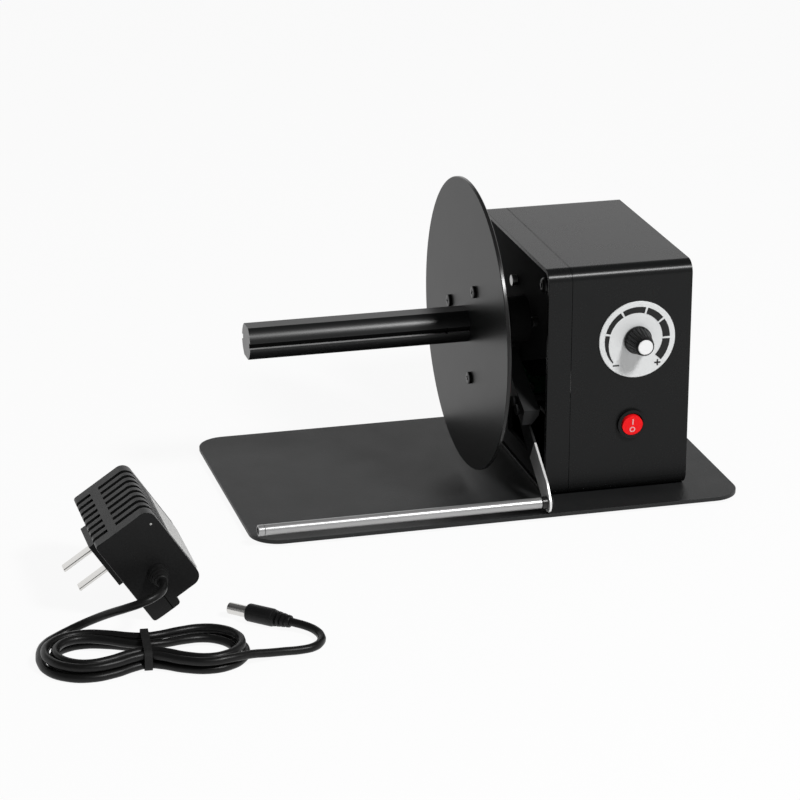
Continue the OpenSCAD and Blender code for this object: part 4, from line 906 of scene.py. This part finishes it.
# The cap's bore is coloured deep black: painted shade in the hole.
guide_end.data.materials.append(deep_black)
for face in guide_end.data.polygons:
    reach = math.hypot(face.center.y - roller_axis[0] * MM, face.center.z - roller_axis[1] * MM)
    face.material_index = 1 if reach < end_hole * MM else 0
collar_profile = [(1.8, 0), (3.1, 0), (3.3, 0.2), (3.3, 2.6), (3.1, 2.8), (1.8, 2.8), (1.8, 0)]
turned_piece(
    "guide_collar", collar_profile, [along_roller(19.85)], 64, "tension_arm", "black_steel", black_oxide,
    "roller_collar",
)

# Arm stop: a bent bracket behind the panel with a rubber pad for the peg, and a small sensor
# board that sees the peg lift.
board_green = grained_finish(
    "board_green", (0.02, 0.12, 0.05), roughness=0.4,
    grain=700, depth=0.03, tone=0.4, gloss=0.1,
)
dress_nodes(inner_black, "arm_stop_bracket")
dress_nodes(soft_rubber, "arm_stop_pad")
dress_nodes(board_green, "arm_sensor")

# Speed dial: a satin silver plate with a printed band that widens towards full speed, and a
# ribbed black knob with a bright cap on the control's shaft.
dial_x = 74.6
dial_z = 84.8
dial_back_y = -49
knob_back_y = -50.1
cap_back_y = -61.8


def facing_front(x, y, z):
    return Matrix.Translation(Vector((x, y, z)) * MM) @ Matrix.Rotation(math.pi / 2, 4, "X")


dial_profile = [(3.6, 0), (19.95, 0), (20.1, 0.15), (20.1, 0.6), (19.9, 0.8), (3.6, 0.8), (3.6, 0)]
dial_place = facing_front(dial_x, dial_back_y, dial_z)
satin_silver = grained_finish(
    "satin_silver", (0.74, 0.75, 0.75), roughness=0.42, metallic=0.1,
    grain=1800, depth=0.015, tone=0.06, gloss=0.08,
)
turned_piece(
    "dial_face", dial_profile, [dial_place], 160, "machine", "dial_metal", satin_silver, "dial_plate",
)
black_print = grained_finish(
    "black_print", (0.01, 0.01, 0.01), roughness=0.5, specular=0.3,
    grain=900, depth=0.005, tone=0.2, gloss=0.05,
)
dress_nodes(black_print, "dial_scale")
knob_ribs = 20
knob_rib_depth = 0.42
knob_steps = 160
knob_rows = [
    (3.1, 0.3, 0), (6.9, 0, 0), (7.25, 0.3, 0), (7.25, 1.3, 0), (6.9, 1.7, 0), (6.75, 2.1, 1),
    (5.05, 10.9, 1), (4.75, 11.6, 0), (4.6, 12.1, 0), (4.35, 12.45, 0), (3.95, 12.5, 0),
    (3.95, 11.7, 0), (0, 11.7, 0),
]
knob_shape = bmesh.new()
knob_place = facing_front(dial_x, knob_back_y, dial_z)
knob_rings = []
for radius, height, ribbed in knob_rows:
    ring = []
    for i in range(knob_steps):
        a = 2 * math.pi * i / knob_steps
        r = radius - ribbed * knob_rib_depth * max(0, math.cos(knob_ribs * a)) ** 2
        point = Vector((r * math.cos(a), r * math.sin(a), height))
        ring.append(knob_shape.verts.new(knob_place @ (point * MM)))
    knob_rings.append(ring)
for low, high in zip(knob_rings, knob_rings[1:]):
    for i in range(knob_steps):
        j = (i + 1) % knob_steps
        knob_shape.faces.new((low[i], low[j], high[j], high[i]))
bmesh.ops.remove_doubles(knob_shape, verts=knob_shape.verts, dist=1e-7)
knob = even_normals(place_piece(
    "ribbed_knob", settle_mesh("ribbed_knob", knob_shape), "knob", "black_plastic", "speed_knob",
))
knob.data.materials.append(moulded_black)
spun_cap = grained_finish(
    "spun_cap", (0.9, 0.9, 0.9), roughness=0.32, metallic=0.3,
    grain=2500, depth=0.01, tone=0.06, gloss=0.06,
)
cap_profile = [(0, 0), (3.9, 0), (3.9, 0.75), (3.7, 1), (0, 1)]
cap_place = facing_front(dial_x, cap_back_y, dial_z)
turned_piece("knob_bright_cap", cap_profile, [cap_place], 96, "knob", "dial_metal", spun_cap, "knob_cap")
dress_nodes(zinc_steel, "dial_nut", "dial_shaft")
dress_nodes(turned_brass, "dial_control")

# Power switch: a round black bezel with a red rocker, printed with a line and a ring. The
# ring's half is pressed in.
gloss_black = grained_finish(
    "gloss_black", (0.008, 0.008, 0.008), roughness=0.4, specular=0.16,
    grain=1500, depth=0.02, tone=0.2, gloss=0.08,
)
gloss_red = grained_finish(
    "gloss_red", (0.98, 0.01, 0.013), roughness=0.35, specular=0.12,
    grain=900, depth=0.01, tone=0.08, gloss=0.05,
)
white_print = grained_finish(
    "white_print", (0.88, 0.45, 0.46), roughness=0.45,
    grain=900, depth=0.005, tone=0.05, gloss=0.05,
)
eased_piece("switch_bezel", "switch_body", 0.45, "machine", "black_plastic", gloss_black)
eased_piece("red_rocker", "switch_rocker", 0.4, "rocker", "red_plastic", gloss_red)
dress_nodes(white_print, "rocker_marks")

# Power socket, control board and wires at the back wall. The socket's nut is plated, and the
# board carries its parts on a green laminate.
eased_piece("socket_barrel", "dc_socket", 0.3, "machine", "black_plastic", moulded_black)
eased_piece("socket_nut", "dc_socket_nut", 0.3, "machine", "steel", bright_nickel)
wire_red = grained_finish(
    "wire_red", (0.4, 0.02, 0.02), roughness=0.4,
    grain=900, depth=0.02, tone=0.2, gloss=0.1,
)
dress_nodes(board_green, "control_board")
dress_nodes(zinc_steel, "board_screws")
dress_nodes(wire_red, "wiring")
